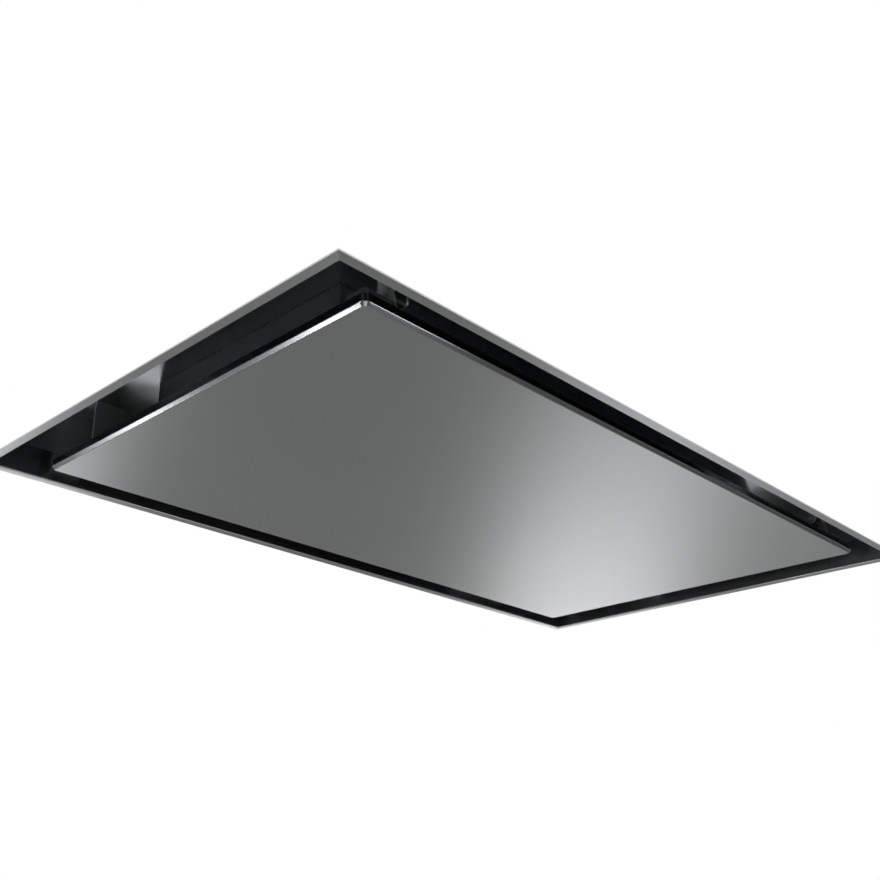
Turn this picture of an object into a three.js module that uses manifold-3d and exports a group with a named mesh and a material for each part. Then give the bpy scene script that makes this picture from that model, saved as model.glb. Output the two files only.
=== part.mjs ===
// A ceiling range hood: a flush panel with suction slots round its edge, hung in a ceiling opening.
// Millimetres, +Z up. The origin is the centre of the ceiling opening, in the plane of the flush underside.
// +X runs along the long side. The cover hinges on the -Y side and opens downwards on the +Y side.

import * as THREE from 'three';
import { mergeVertices } from 'three/addons/utils/BufferGeometryUtils.js';
import Module from 'manifold-3d';

const wasm = await Module();
wasm.setup();

// ---------------------------------------------------------------- driving dimensions

// Shared by every piece
const seatGap = 0.3; // between two pieces that touch
const sheet = 1; // casing and tray sheet steel
const cutOver = 5; // how far a cutting tool runs past the face that it cuts

// Trim frame
const frameLength = 900;
const frameWidth = 500;
const flangeReach = 9; // visible width of the flange
const flangeThickness = 1.5;
const upstandHeight = 30; // from the flush underside to the upstand's top
const upstandThickness = 1.2;
const flangeChamfer = 0.8; // bright inner edge

// Casing and tray
const unitHeight = 299;
const foldWidth = 12; // folded edges of the casing's end walls
const roofLip = 7; // edges of the roof, turned down
const casingRise = 6; // flange to the casing's lower edge, where the ceiling board ends
const chamberHeight = 81; // flush underside to the tray's ceiling
const trayCornerRadius = 14;

// Hanger plates and the slots for the hanging rods
const hangerInset = 42; // slot centre to casing side
const hangerLength = 50;
const hangerWidth = 40;
const hangerThickness = 3;
const rodSlotLength = 26;
const rodSlotWidth = 9;

// Cover
const endSlot = 47; // air slot at the short sides
const longSlot = 25; // air slot at the long sides
const coverDepth = 10; // height of the cover's rim
const coverSheet = 1.2;
const coverRoll = 4.5; // radius of the polished edge round the face
const coverRollSteps = 5;
const coverCornerRadius = 6;
const backingSheet = 1;
const ribCount = 3; // pressed ribs along the backing
const ribPitch = 88;
const ribWidth = 22;
const ribHeight = 3;

// Cover hinges, one near each end of the -Y side
const hingeInset = 20; // cover edge to hinge axis, level
const hingeHeight = 34; // flush underside to hinge axis
const hingeEndInset = 49; // cover end to hinge block centre
const pinRadius = 3;
const pinHeadRadius = 5;
const pinHeadLength = 2;
const pinStub = 5; // length that shows past the inner ear
const blockLength = 12;
const blockWidth = 14;
const blockBelow = 8; // block reach below the axis
const blockAbove = 16;
const blockChamfer = 2;
const earThickness = 2;
const armEarRadius = 8;
const armFootLength = 30;
const armFootWidth = 26;
const shoeHeight = 10;

// Cover catches, one near each end of the +Y side
const magnetLength = 32;
const magnetWidth = 16;
const magnetHeight = 12;
const strikeThickness = 2;
const strikeMargin = 2;
const catchFoot = 16;

// Grease filters
const filterLength = 331.5;
const filterWidth = 250;
const filterDepth = 9;
const filterBorder = 12;
const filterHeight = 46; // flush underside to the underside of the filter carrier
const filterPlay = 1.65;
const carrierSheet = 1.2;
const carrierLip = 10;
const ledgeReach = 6;
const dividerThickness = 2;
const pleatPitch = 11;
const pleatDepth = 4;
const meshThickness = 2.5;
const handleLength = 80;
const handleWidth = 35;
const handleWall = 1.5;
const boltLength = 24;
const boltThickness = 2;
const boltReach = 1.5; // past the carrier wall
const boltTabWidth = 4;
const boltRise = 3; // filter's underside to the bolt
const boltTabRecess = 0.5; // filter's underside to the thumb tab

// Fan
const fanX = 20;
const fanY = 40;
const wheelRadius = 110;
const bladeInnerRadius = 92;
const bladeCount = 36;
const bladeThickness = 1;
const bladeSteps = 3; // straight strips in a blade's curve
const bladeSweep = 0.17; // how far a blade's tip leans ahead of its root, in radians
const wheelPlate = 2.5;
const wheelRingInner = 88; // ring that the blades hang from, round the disc's rim
const shroudWidth = 15;
const wheelDishDepth = 42;
const dishRadius = 52;
const dishRise = 10;
const wheelTopGap = 16; // motor flange level to the top of the wheel
const wheelBottomGap = 17; // scroll floor to the bottom of the wheel
const bossRadius = 11;
const bossLength = 12;
const shaftRadius = 4;
const shaftGrip = 16; // how far the shaft reaches into the motor
const shaftEnd = 2; // how far it shows past the nut
const nutRadius = 7.5;
const nutHeight = 5.5;
const motorRadius = 46; // over the fins
const motorDishGap = 4;
const motorShoulder = 5;
const motorFlangeRadius = 60;
const motorFlangeThickness = 3;
const motorFins = 18;
const finDepth = 3;
const finWidth = 2;

// Scroll round the fan
const ductWidth = 150; // also the scroll's throat
const ductOffset = 43; // fan axis to the near wall of the throat
const tongueRadius = 122; // fan axis to the scroll where it starts
const scrollWall = 2.5;
const scrollInnerHeight = 148;
const lidRim = 5;
const lidOpeningRadius = 40; // shows the motor's back
const inletThroat = 84;
const inletMouth = 104;
const inletFlange = 16;
const inletSheet = 2;
const inletLip = 4; // straight end of the throat, inside the wheel
const rubberRadius = 11;
const rubberHeight = 14;
const rubberOffset = 88; // fan axis to each rubber mount, along X and along Y

// Outlet collar and its flaps
const collarRadius = 74.5;
const collarWall = 1.8;
const collarLength = 45;
const collarFlange = 12;
const collarFlangeThickness = 2.5;
const flapPlane = 8; // wall to the flap pivots
const flapThickness = 1.6;
const flapClearance = 1.7;
const flapPivotOffset = 3.4;
const flapBarrelRadius = 2.4;
const flapPinRadius = 1.5;

// Control box and wiring
const controlBoxInset = 37.5; // casing's right wall to the box
const controlBoxLength = 165;
const controlBoxWidth = 108;
const controlBoxHeight = 55;
const controlBoxWall = 1.5;
const controlBoxDrop = 8; // casing roof to the box
const boardThickness = 1.6;
const boardMargin = 6;
const boardStandoff = 6;
const boardPartInset = 20; // board edge to its tall parts
const mainsFilterLength = 30;
const mainsFilterHeight = 18;
const relayLength = 28;
const relayWidth = 15;
const relayHeight = 14;
const capacitorPitch = 20;
const capacitorRadius = 8;
const capacitorHeight = 24;
const glandRadius = 8.5;
const glandBore = 4.5;
const glandHeadRadius = 13;
const glandHeadLength = 18;
const glandInnerLength = 18;
const glandChamfer = 3;
const leadOutletInset = 14; // motor axis to the lead's outlet
const leadOutletLength = 20;
const leadOutletWidth = 12;
const leadOutletRise = 4; // outlet's top above the lead's middle
const cableRadius = 2.5;
const cableEntryInset = 81; // rear of the control box to the motor lead
const cableTurns = [
  { x: 72, y: 38, drop: 0 },
  { x: 104, y: 22, drop: 0 },
  { x: 134, y: -14, drop: 0 },
  { x: 153, y: -62, drop: 1.7 },
  { x: 170, y: -108, drop: 11.7 },
  { x: 196, y: -146, drop: 22.8 },
  { x: 224, y: -160.6, drop: 24 },
]; // where the motor lead is laid between its ends, and how far it has come down there

// ---------------------------------------------------------------- sizes that follow

const openingX = frameLength / 2 - flangeReach;
const openingY = frameWidth / 2 - flangeReach;
const casingInnerX = openingX + upstandThickness + seatGap;
const casingInnerY = openingY + upstandThickness + seatGap;
const casingOuterX = casingInnerX + sheet;
const casingOuterY = casingInnerY + sheet;
const casingFloor = flangeThickness + casingRise;
const roofUnderside = unitHeight - sheet;
const wallTop = roofUnderside - seatGap;
const foldBack = casingInnerY - seatGap;
const trayTop = chamberHeight + sheet;
const rodSlotX = casingOuterX - hangerInset;
const rodSlotY = casingOuterY - hangerInset;

const coverX = openingX - endSlot;
const coverY = openingY - longSlot;
const backingTop = coverDepth - seatGap;

const hingeY = -(coverY - hingeInset);
const hingeX = coverX - hingeEndInset;
const catchY = -hingeY;

const carrierInnerX = filterLength + dividerThickness / 2 + 2 * filterPlay;
const carrierInnerY = filterWidth / 2 + filterPlay;
const carrierOuterX = carrierInnerX + carrierSheet;
const carrierOuterY = carrierInnerY + carrierSheet;
const filterX = dividerThickness / 2 + filterPlay + filterLength / 2;
const filterFloor = filterHeight + carrierSheet + seatGap;

const lidTop = roofUnderside - seatGap - rubberHeight - seatGap;
const lidBottom = lidTop - scrollWall;
const scrollTop = lidBottom - seatGap;
const scrollFloor = scrollTop - scrollInnerHeight;
const scrollBottom = scrollFloor - scrollWall;
const scrollExitY = -(casingInnerY - seatGap);
const throatEnd = ductOffset + ductWidth;

const outletX = fanX - ductOffset - ductWidth / 2;
const outletZ = scrollFloor + scrollInnerHeight / 2;

const controlBoxX = casingInnerX - controlBoxInset - controlBoxLength;
const controlBoxTop = wallTop - controlBoxDrop;
const controlBoxBottom = controlBoxTop - controlBoxHeight;
const controlBoxRear = -casingInnerY + seatGap;
const controlBoxFront = controlBoxRear + controlBoxWidth;
const glandX = controlBoxX + controlBoxLength / 2;
const glandZ = (controlBoxTop + controlBoxBottom) / 2;
const cableLevel = lidTop + seatGap + cableRadius;

// ---------------------------------------------------------------- finishes

function finish(color, roughness, metalness) {
  return new THREE.MeshStandardMaterial({ color, roughness, metalness });
}

const brushedSteel = finish(0x9a9c9e, 0.35, 1);
const polishedSteel = finish(0xb4b8ba, 0.12, 1);
const zincSheet = finish(0x9ea3a6, 0.5, 1);
const aluminium = finish(0xb9bcc0, 0.4, 1);
const blackPlastic = finish(0x1c1d1f, 0.55, 0);
const greyPlastic = finish(0x3c3e41, 0.5, 0);
const blackRubber = finish(0x151515, 0.85, 0);
const boardGreen = finish(0x1f5136, 0.5, 0);
const hingeSteel = finish(0xa8abad, 0.4, 1);

// ---------------------------------------------------------------- geometry tools

// One closed skin: shared corners merged, slivers of no area dropped, faces turned outwards.
function closedSkin(source) {
  const bare = source.clone();
  bare.deleteAttribute('normal');
  bare.deleteAttribute('uv');
  const merged = mergeVertices(bare, 1e-4);
  const corner = merged.index.array;
  const kept = [];
  let volume = 0;
  const a = new THREE.Vector3();
  const b = new THREE.Vector3();
  const c = new THREE.Vector3();
  for (let i = 0; i < corner.length; i += 3) {
    const [p, q, r] = [corner[i], corner[i + 1], corner[i + 2]];
    if (p === q || q === r || r === p) continue;
    kept.push(p, q, r);
    a.fromBufferAttribute(merged.attributes.position, p);
    b.fromBufferAttribute(merged.attributes.position, q);
    c.fromBufferAttribute(merged.attributes.position, r);
    volume += a.dot(b.cross(c));
  }
  merged.setIndex(volume < 0 ? kept.reverse() : kept);
  return merged;
}

function toSolid(geometry) {
  const skin = closedSkin(geometry);
  const vertProperties = new Float32Array(skin.attributes.position.array);
  const triVerts = new Uint32Array(skin.index.array);
  return new wasm.Manifold(new wasm.Mesh({ numProp: 3, vertProperties, triVerts }));
}

function toGeometry(solid) {
  const mesh = solid.getMesh();
  const geometry = new THREE.BufferGeometry();
  geometry.setAttribute('position', new THREE.BufferAttribute(mesh.vertProperties, 3));
  geometry.setIndex(new THREE.BufferAttribute(mesh.triVerts, 1));
  return geometry;
}

function join(first, ...others) {
  let solid = toSolid(first);
  for (const other of others) solid = solid.add(toSolid(other));
  return toGeometry(solid);
}

function cut(first, ...tools) {
  let solid = toSolid(first);
  for (const tool of tools) solid = solid.subtract(toSolid(tool));
  return toGeometry(solid);
}

// A block between two corners, given as ranges along X, Y and Z.
function block([x0, x1], [y0, y1], [z0, z1]) {
  const box = new THREE.BoxGeometry(x1 - x0, y1 - y0, z1 - z0);
  return box.translate((x0 + x1) / 2, (y0 + y1) / 2, (z0 + z1) / 2);
}

// A flat shape in X and Y, raised from z0 to z1.
function slab(shape, [z0, z1], curveSegments = 12) {
  const geometry = new THREE.ExtrudeGeometry(shape, { depth: z1 - z0, bevelEnabled: false, curveSegments });
  return geometry.translate(0, 0, z0);
}

// A flat shape given in Y and Z, run along X from x0 to x1.
function run(shape, [x0, x1], curveSegments = 12) {
  const geometry = slab(shape, [0, x1 - x0], curveSegments);
  geometry.rotateY(Math.PI / 2).rotateX(Math.PI / 2);
  return geometry.translate(x0, 0, 0);
}

// A round bar along X, Y or Z from its centre's start to its end.
function bar(axis, radius, [start, end], segments = 24) {
  const geometry = new THREE.CylinderGeometry(radius, radius, end - start, segments);
  geometry.translate(0, (start + end) / 2, 0);
  if (axis === 'x') geometry.rotateZ(-Math.PI / 2);
  if (axis === 'z') geometry.rotateX(Math.PI / 2);
  return geometry;
}

// A profile of [radius, height] points turned about Z.
function turned(profile, segments = 48) {
  const points = profile.map(([radius, height]) => new THREE.Vector2(radius, height));
  return new THREE.LatheGeometry(points, segments).rotateX(Math.PI / 2);
}

// One rectangular loop with round corners, at height z.
function rectangleLoop({ x, y, z, radius = 0 }, steps) {
  const loop = [];
  for (let corner = 0; corner < 4; corner++) {
    const sideX = corner === 0 || corner === 3 ? 1 : -1;
    const sideY = corner < 2 ? 1 : -1;
    for (let step = 0; step <= steps; step++) {
      const turn = (corner + (steps ? step / steps : 0)) * (Math.PI / 2);
      const pointX = sideX * (x - radius) + radius * Math.cos(turn);
      const pointY = sideY * (y - radius) + radius * Math.sin(turn);
      loop.push(new THREE.Vector3(pointX, pointY, z));
    }
  }
  return loop;
}

// Rectangular loops joined one to the next. A frame joins its last loop to its first, and a
// tray closes its first and last loops with flat faces.
function loopSolid(levels, { frame, steps = 0 }) {
  const loops = levels.map((level) => rectangleLoop(level, steps));
  const count = loops[0].length;
  const position = loops.flat().flatMap((point) => point.toArray());
  const index = [];
  const joins = frame ? loops.length : loops.length - 1;
  for (let level = 0; level < joins; level++) {
    const lower = level * count;
    const upper = ((level + 1) % loops.length) * count;
    for (let i = 0; i < count; i++) {
      const next = (i + 1) % count;
      index.push(lower + i, lower + next, upper + next);
      index.push(lower + i, upper + next, upper + i);
    }
  }
  if (!frame) {
    const last = (loops.length - 1) * count;
    for (let i = 1; i < count - 1; i++) {
      index.push(0, i + 1, i);
      index.push(last, last + i, last + i + 1);
    }
  }
  const geometry = new THREE.BufferGeometry();
  geometry.setAttribute('position', new THREE.Float32BufferAttribute(position, 3));
  geometry.setIndex(index);
  return geometry;
}

function part(parent, name, geometry, material) {
  const skin = closedSkin(geometry).toNonIndexed();
  skin.computeVertexNormals();
  const mesh = new THREE.Mesh(skin, material);
  mesh.name = name;
  parent.add(mesh);
  return mesh;
}

function placedGroup(parent, x, y, z) {
  const group = new THREE.Group();
  group.position.set(x, y, z);
  parent.add(group);
  return group;
}

const hood = new THREE.Group();

// ---------------------------------------------------------------- trim frame and tray

// Mitred angle: a narrow flange that laps the ceiling, and an upstand that enters the opening.
function trimFrame() {
  const at = (out, z) => ({ x: openingX + out, y: openingY + out, z });
  const profile = [
    at(flangeChamfer, 0),
    at(flangeReach, 0),
    at(flangeReach, flangeThickness),
    at(upstandThickness, flangeThickness),
    at(upstandThickness, upstandHeight),
    at(0, upstandHeight),
    at(0, flangeChamfer),
  ];
  return loopSolid(profile, { frame: true });
}

// Polished tray above the trim: four walls and a ceiling with the filter opening in it.
function suctionTray() {
  const low = upstandHeight + seatGap;
  const wall = { x: openingX, y: openingY, radius: trayCornerRadius };
  const back = { x: openingX + sheet, y: openingY + sheet, radius: trayCornerRadius + sheet };
  const mouth = { x: carrierOuterX + seatGap, y: carrierOuterY + seatGap, radius: 1 };
  const profile = [
    { ...wall, z: low },
    { ...wall, z: chamberHeight },
    { ...mouth, z: chamberHeight },
    { ...mouth, z: trayTop },
    { ...back, z: trayTop },
    { ...back, z: low },
  ];
  return loopSolid(profile, { frame: true, steps: 6 });
}

part(hood, 'trim_frame', trimFrame(), brushedSteel);
part(hood, 'suction_tray', suctionTray(), polishedSteel);

// ---------------------------------------------------------------- casing

// A long wall is flat. It stands between the end walls, against the folds of these and of the roof.
function longWall() {
  const half = casingInnerX - seatGap;
  return block([-half, half], [casingInnerY, casingOuterY], [casingFloor, wallTop]);
}

// An end wall laps the ends of the long walls. Its top is folded inwards, and above the tray its sides too.
function endWall() {
  const foldX = [casingInnerX - foldWidth, casingInnerX + sheet / 2];
  const topHalf = foldBack - sheet - seatGap;
  const face = block([casingInnerX, casingOuterX], [-casingOuterY, casingOuterY], [casingFloor, wallTop]);
  const top = block(foldX, [-topHalf, topHalf], [wallTop - sheet, wallTop]);
  const sides = [-1, 1].map((side) => {
    const across = [side * foldBack, side * (foldBack - sheet)].sort((a, b) => a - b);
    return block(foldX, across, [trayTop + foldWidth, wallTop]);
  });
  return join(face, top, ...sides);
}

// The rear long wall is a long wall turned round, with the outlet's hole and the gland's hole.
function rearWall() {
  const along = [-casingOuterY - cutOver, -casingInnerY + cutOver];
  const outletHole = bar('y', collarRadius + seatGap, along, 40).translate(outletX, 0, outletZ);
  const glandHole = bar('y', glandRadius + seatGap, along, 20).translate(glandX, 0, glandZ);
  return cut(longWall().rotateZ(Math.PI), outletHole, glandHole);
}

function rodSlot([z0, z1]) {
  const straight = (rodSlotLength - rodSlotWidth) / 2;
  const slot = new THREE.Shape();
  slot.absarc(straight, 0, rodSlotWidth / 2, -Math.PI / 2, Math.PI / 2, false);
  slot.absarc(-straight, 0, rodSlotWidth / 2, Math.PI / 2, (3 * Math.PI) / 2, false);
  return slab(slot, [z0 - cutOver, z1 + cutOver], 5);
}

const roofCorners = [
  { name: 'front_left', sideX: -1, sideY: 1 },
  { name: 'front_right', sideX: 1, sideY: 1 },
  { name: 'rear_left', sideX: -1, sideY: -1 },
  { name: 'rear_right', sideX: 1, sideY: -1 },
];

// Flat roof whose long sides are turned down inside the long walls, and that lies on the end walls' folds.
function casingRoof() {
  const level = [roofUnderside, unitHeight];
  const plate = block([-casingOuterX, casingOuterX], [-casingOuterY, casingOuterY], level);
  const lipHalf = casingInnerX - foldWidth - seatGap;
  const lips = [-1, 1].map((side) => {
    const across = [side * foldBack, side * (foldBack - sheet)].sort((a, b) => a - b);
    return block([-lipHalf, lipHalf], across, [roofUnderside - roofLip, roofUnderside + sheet / 2]);
  });
  const slots = roofCorners.map(({ sideX, sideY }) => {
    return rodSlot(level).translate(sideX * rodSlotX, sideY * rodSlotY, 0);
  });
  return cut(join(plate, ...lips), ...slots);
}

// Thick plate under the roof that takes the hanging rod's nut.
function hangerPlate() {
  const level = [wallTop - hangerThickness, wallTop];
  const plate = block([-hangerLength / 2, hangerLength / 2], [-hangerWidth / 2, hangerWidth / 2], level);
  return cut(plate, rodSlot(level));
}

// ---------------------------------------------------------------- control box

// Open below. Four posts under its roof carry the board.
function controlBox() {
  const x = [controlBoxX, controlBoxX + controlBoxLength];
  const y = [controlBoxRear, controlBoxFront];
  const wall = controlBoxWall;
  const shell = block(x, y, [controlBoxBottom, controlBoxTop]);
  const hollow = block([x[0] + wall, x[1] - wall], [y[0] + wall, y[1] - wall], [
    controlBoxBottom - cutOver,
    controlBoxTop - wall,
  ]);
  const glandHole = bar('y', glandRadius + seatGap, [y[0] - cutOver, y[0] + wall + cutOver], 20);
  glandHole.translate(glandX, 0, glandZ);
  const opened = cut(shell, hollow, glandHole);
  const posts = [];
  const inset = wall + seatGap + boardMargin;
  for (const postX of [x[0] + inset, x[1] - inset]) {
    for (const postY of [y[0] + inset, y[1] - inset]) {
      const level = [controlBoxTop - wall - boardStandoff, controlBoxTop - wall / 2];
      posts.push(bar('z', boardMargin / 2, level, 12).translate(postX, postY, 0));
    }
  }
  return join(opened, ...posts);
}

function controlBoxLid() {
  const x = [controlBoxX, controlBoxX + controlBoxLength];
  const y = [controlBoxRear, controlBoxFront];
  const inner = controlBoxWall + seatGap;
  const top = controlBoxBottom - seatGap;
  const plate = block(x, y, [top - controlBoxWall, top]);
  const spigot = block([x[0] + inner, x[1] - inner], [y[0] + inner, y[1] - inner], [
    top - controlBoxWall / 2,
    controlBoxBottom + controlBoxWall,
  ]);
  return join(plate, spigot);
}

// Board with a mains filter, a relay and two capacitors that hang below it.
function circuitBoard() {
  const margin = controlBoxWall + seatGap;
  const x = [controlBoxX + margin, controlBoxX + controlBoxLength - margin];
  const y = [controlBoxRear + margin, controlBoxFront - margin];
  const top = controlBoxTop - controlBoxWall - boardStandoff - seatGap;
  const under = top - boardThickness;
  const root = under + boardThickness / 2;
  const left = x[0] + boardPartInset;
  const right = x[1] - boardPartInset;
  const front = y[1] - boardPartInset;
  const mainsFilter = block(
    [right - mainsFilterLength, right],
    [front - mainsFilterLength, front],
    [under - mainsFilterHeight, root],
  );
  const relay = block([left, left + relayLength], [front - relayWidth, front], [under - relayHeight, root]);
  const capacitors = [1, 2].map((place) => {
    const capacitor = bar('z', capacitorRadius, [under - capacitorHeight, root], 12);
    return capacitor.translate(left + relayLength + place * capacitorPitch, front - capacitorRadius, 0);
  });
  return join(block(x, y, [under, top]), mainsFilter, relay, ...capacitors);
}

// Mains entry through the rear wall: a hollow gland with no lead in it.
function cableGland() {
  const profile = [
    [glandBore, -glandHeadLength],
    [glandHeadRadius - glandChamfer, -glandHeadLength],
    [glandHeadRadius, glandChamfer - glandHeadLength],
    [glandHeadRadius, -seatGap],
    [glandRadius, -seatGap],
    [glandRadius, glandInnerLength],
    [glandBore, glandInnerLength],
    [glandBore, -glandHeadLength],
  ];
  const gland = turned(profile, 20).rotateX(-Math.PI / 2);
  return gland.translate(glandX, -casingOuterY, glandZ);
}

// Motor lead, from its outlet over the scroll's lid and down to the side of the control box.
function motorCable() {
  const start = [fanX + leadOutletInset + leadOutletLength + seatGap, fanY, cableLevel];
  const end = [controlBoxX - seatGap, controlBoxRear + cableEntryInset, glandZ];
  const turns = cableTurns.map(({ x, y, drop }) => [x, y, cableLevel - drop]);
  const points = [start, ...turns, end].map((point) => new THREE.Vector3(...point));
  const route = new THREE.CatmullRomCurve3(points);
  const section = new THREE.Shape();
  section.absarc(0, 0, cableRadius, 0, Math.PI * 2, false);
  return new THREE.ExtrudeGeometry(section, {
    extrudePath: route,
    steps: 28,
    curveSegments: 5,
    bevelEnabled: false,
  });
}

part(hood, 'casing_front', longWall(), zincSheet);
part(hood, 'casing_rear', rearWall(), zincSheet);
part(hood, 'casing_right', endWall(), zincSheet);
part(hood, 'casing_left', endWall().rotateZ(Math.PI), zincSheet);
part(hood, 'casing_roof', casingRoof(), zincSheet);

for (const { name, sideX, sideY } of roofCorners) {
  const corner = placedGroup(hood, sideX * rodSlotX, sideY * rodSlotY, 0);
  part(corner, `hanger_plate_${name}`, hangerPlate(), hingeSteel);
}

part(hood, 'control_box', controlBox(), greyPlastic);
part(hood, 'control_box_lid', controlBoxLid(), greyPlastic);
part(hood, 'circuit_board', circuitBoard(), boardGreen);
part(hood, 'cable_gland', cableGland(), blackPlastic);
part(hood, 'motor_cable', motorCable(), blackRubber);

// ---------------------------------------------------------------- filter carrier and filters

// Rectangular collar that hangs through the tray's ceiling and holds both filters in its mouth.
function filterCarrier() {
  const inner = { x: carrierInnerX, y: carrierInnerY };
  const outer = { x: carrierOuterX, y: carrierOuterY };
  const lip = { x: carrierOuterX + carrierLip, y: carrierOuterY + carrierLip };
  const lipFloor = trayTop + seatGap;
  const profile = [
    { ...inner, z: filterHeight },
    { ...outer, z: filterHeight },
    { ...outer, z: lipFloor },
    { ...lip, z: lipFloor },
    { ...lip, z: lipFloor + carrierSheet },
    { ...inner, z: lipFloor + carrierSheet },
  ];
  const collar = loopSolid(profile, { frame: true });
  const ledge = block([-carrierOuterX + carrierSheet / 2, carrierOuterX - carrierSheet / 2], [
    -carrierOuterY + carrierSheet / 2,
    -carrierInnerY + ledgeReach,
  ], [filterHeight, filterHeight + carrierSheet]);
  const through = [carrierInnerY - cutOver, carrierOuterY + cutOver];
  const slots = [-1, 1].map((side) => boltSlot(side * filterX, through));
  return cut(join(collar, ledge), ...slots);
}

const boltFloor = filterFloor + boltRise;

function boltSlot(x, y) {
  const half = boltLength / 2 + seatGap;
  return block([x - half, x + half], y, [boltFloor - seatGap, boltFloor + boltThickness + seatGap]);
}

// Bar between the two filters, from the front wall of the carrier to the rear one.
function filterDivider() {
  const half = dividerThickness / 2;
  const reach = carrierInnerY - seatGap;
  const level = [filterHeight + carrierSheet + seatGap, filterFloor + filterDepth];
  return block([-half, half], [-reach, reach], level);
}

const handleFront = filterWidth / 2 - filterBorder - seatGap;
const handleRear = handleFront - handleWidth;

// Channel frame of one filter, in the filter's own group. Its front side has the bolt's slot.
function filterFrame() {
  const outer = { x: filterLength / 2, y: filterWidth / 2, radius: 3 };
  const inner = { x: filterLength / 2 - filterBorder, y: filterWidth / 2 - filterBorder, radius: 1 };
  const profile = [
    { ...inner, z: filterFloor },
    { ...outer, z: filterFloor },
    { ...outer, z: filterFloor + filterDepth },
    { ...inner, z: filterFloor + filterDepth },
  ];
  const frame = loopSolid(profile, { frame: true, steps: 3 });
  return cut(frame, boltSlot(0, [handleFront, filterWidth / 2 + cutOver]));
}

// Pleated mesh pack inside the frame, cut back round the handle.
function filterMesh() {
  const half = filterLength / 2 - filterBorder - seatGap;
  const reach = filterWidth / 2 - filterBorder - seatGap;
  const pleats = Math.round((2 * half) / pleatPitch);
  const middle = filterFloor + filterDepth / 2;
  const under = [];
  const over = [];
  for (let i = 0; i <= 2 * pleats; i++) {
    const x = -half + (half / pleats) * i;
    const level = middle + (i % 2 ? pleatDepth : -pleatDepth) / 2;
    under.push(new THREE.Vector2(x, level - meshThickness / 2));
    over.unshift(new THREE.Vector2(x, level + meshThickness / 2));
  }
  const pack = slab(new THREE.Shape([...under, ...over]), [-reach, reach]).rotateX(Math.PI / 2);
  const room = block(
    [-handleLength / 2 - seatGap, handleLength / 2 + seatGap],
    [handleRear - seatGap, reach + cutOver],
    [filterFloor - cutOver, filterFloor + filterDepth + cutOver],
  );
  return cut(pack, room);
}

// Finger cup, open below, that guides the bolt.
function filterHandle() {
  const x = [-handleLength / 2, handleLength / 2];
  const y = [handleRear, handleFront];
  const wall = handleWall;
  const cup = block(x, y, [filterFloor, filterFloor + filterDepth]);
  const hollow = block([x[0] + wall, x[1] - wall], [y[0] + wall, y[1] - wall], [
    filterFloor - cutOver,
    filterFloor + filterDepth - wall,
  ]);
  return cut(cup, hollow, boltSlot(0, [y[1] - wall - cutOver / 2, y[1] + cutOver]));
}

// Flat bolt with a thumb tab. It slides towards the filter's middle to let go of the carrier.
function filterBolt() {
  const half = boltLength / 2;
  const nose = carrierOuterY + boltReach;
  const root = (handleRear + handleFront) / 2 - boltTabWidth;
  const plate = block([-half, half], [root, nose], [boltFloor, boltFloor + boltThickness]);
  const tabLevel = [filterFloor + boltTabRecess, boltFloor + boltThickness];
  const tab = block([-half, half], [root, root + boltTabWidth], tabLevel);
  return join(plate, tab);
}

part(hood, 'filter_carrier', filterCarrier(), brushedSteel);
part(hood, 'filter_divider', filterDivider(), brushedSteel);

for (const { name, side } of [
  { name: 'left', side: -1 },
  { name: 'right', side: 1 },
]) {
  const filter = placedGroup(hood, side * filterX, 0, 0);
  part(filter, `filter_frame_${name}`, filterFrame(), aluminium);
  part(filter, `filter_mesh_${name}`, filterMesh(), aluminium);
  part(filter, `filter_handle_${name}`, filterHandle(), greyPlastic);
  part(filter, `filter_bolt_${name}`, filterBolt(), blackPlastic);
}

// ---------------------------------------------------------------- cover

// Shallow pressed pan: flat brushed face, polished bevel, and a rim turned up all round.
function coverPanel() {
  const at = (inset, z) => ({ x: coverX - inset, y: coverY - inset, z, radius: coverCornerRadius - inset });
  const rolled = (radius) => {
    const points = [];
    for (let i = 0; i <= coverRollSteps; i++) {
      const turn = ((Math.PI / 2) * i) / coverRollSteps;
      points.push(at(coverRoll - radius * Math.sin(turn), coverRoll - radius * Math.cos(turn)));
    }
    return points;
  };
  const outside = [...rolled(coverRoll), at(0, coverDepth)];
  const inside = [at(coverSheet, coverDepth), ...rolled(coverRoll - coverSheet).reverse()];
  return loopSolid([...outside, ...inside], { frame: false, steps: 4 });
}

// Stiff backing, a pan turned over inside the rim, with pressed ribs along its length.
function coverBacking() {
  const inset = coverSheet + seatGap;
  const low = coverRoll;
  const at = (more, z) => {
    const shrink = inset + more;
    return { x: coverX - shrink, y: coverY - shrink, z, radius: coverCornerRadius - shrink };
  };
  const profile = [
    at(backingSheet, backingTop - backingSheet),
    at(backingSheet, low),
    at(0, low),
    at(0, backingTop),
  ];
  const pan = loopSolid(profile, { frame: false, steps: 4 });
  const ribs = [];
  for (let i = 0; i < ribCount; i++) {
    const rib = new THREE.Shape();
    const middle = ribPitch * (i - (ribCount - 1) / 2);
    rib.moveTo(middle - ribWidth / 2, backingTop - backingSheet / 2);
    rib.lineTo(middle + ribWidth / 2, backingTop - backingSheet / 2);
    rib.lineTo(middle + ribWidth / 2 - ribHeight, backingTop + ribHeight);
    rib.lineTo(middle - ribWidth / 2 + ribHeight, backingTop + ribHeight);
    rib.closePath();
    ribs.push(run(rib, [-hingeX, hingeX]));
  }
  return join(pan, ...ribs);
}

const cover = placedGroup(hood, 0, 0, 0);
part(cover, 'cover_panel', coverPanel(), brushedSteel);
part(cover, 'cover_backing', coverBacking(), zincSheet);

// ---------------------------------------------------------------- cover hinges

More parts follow.
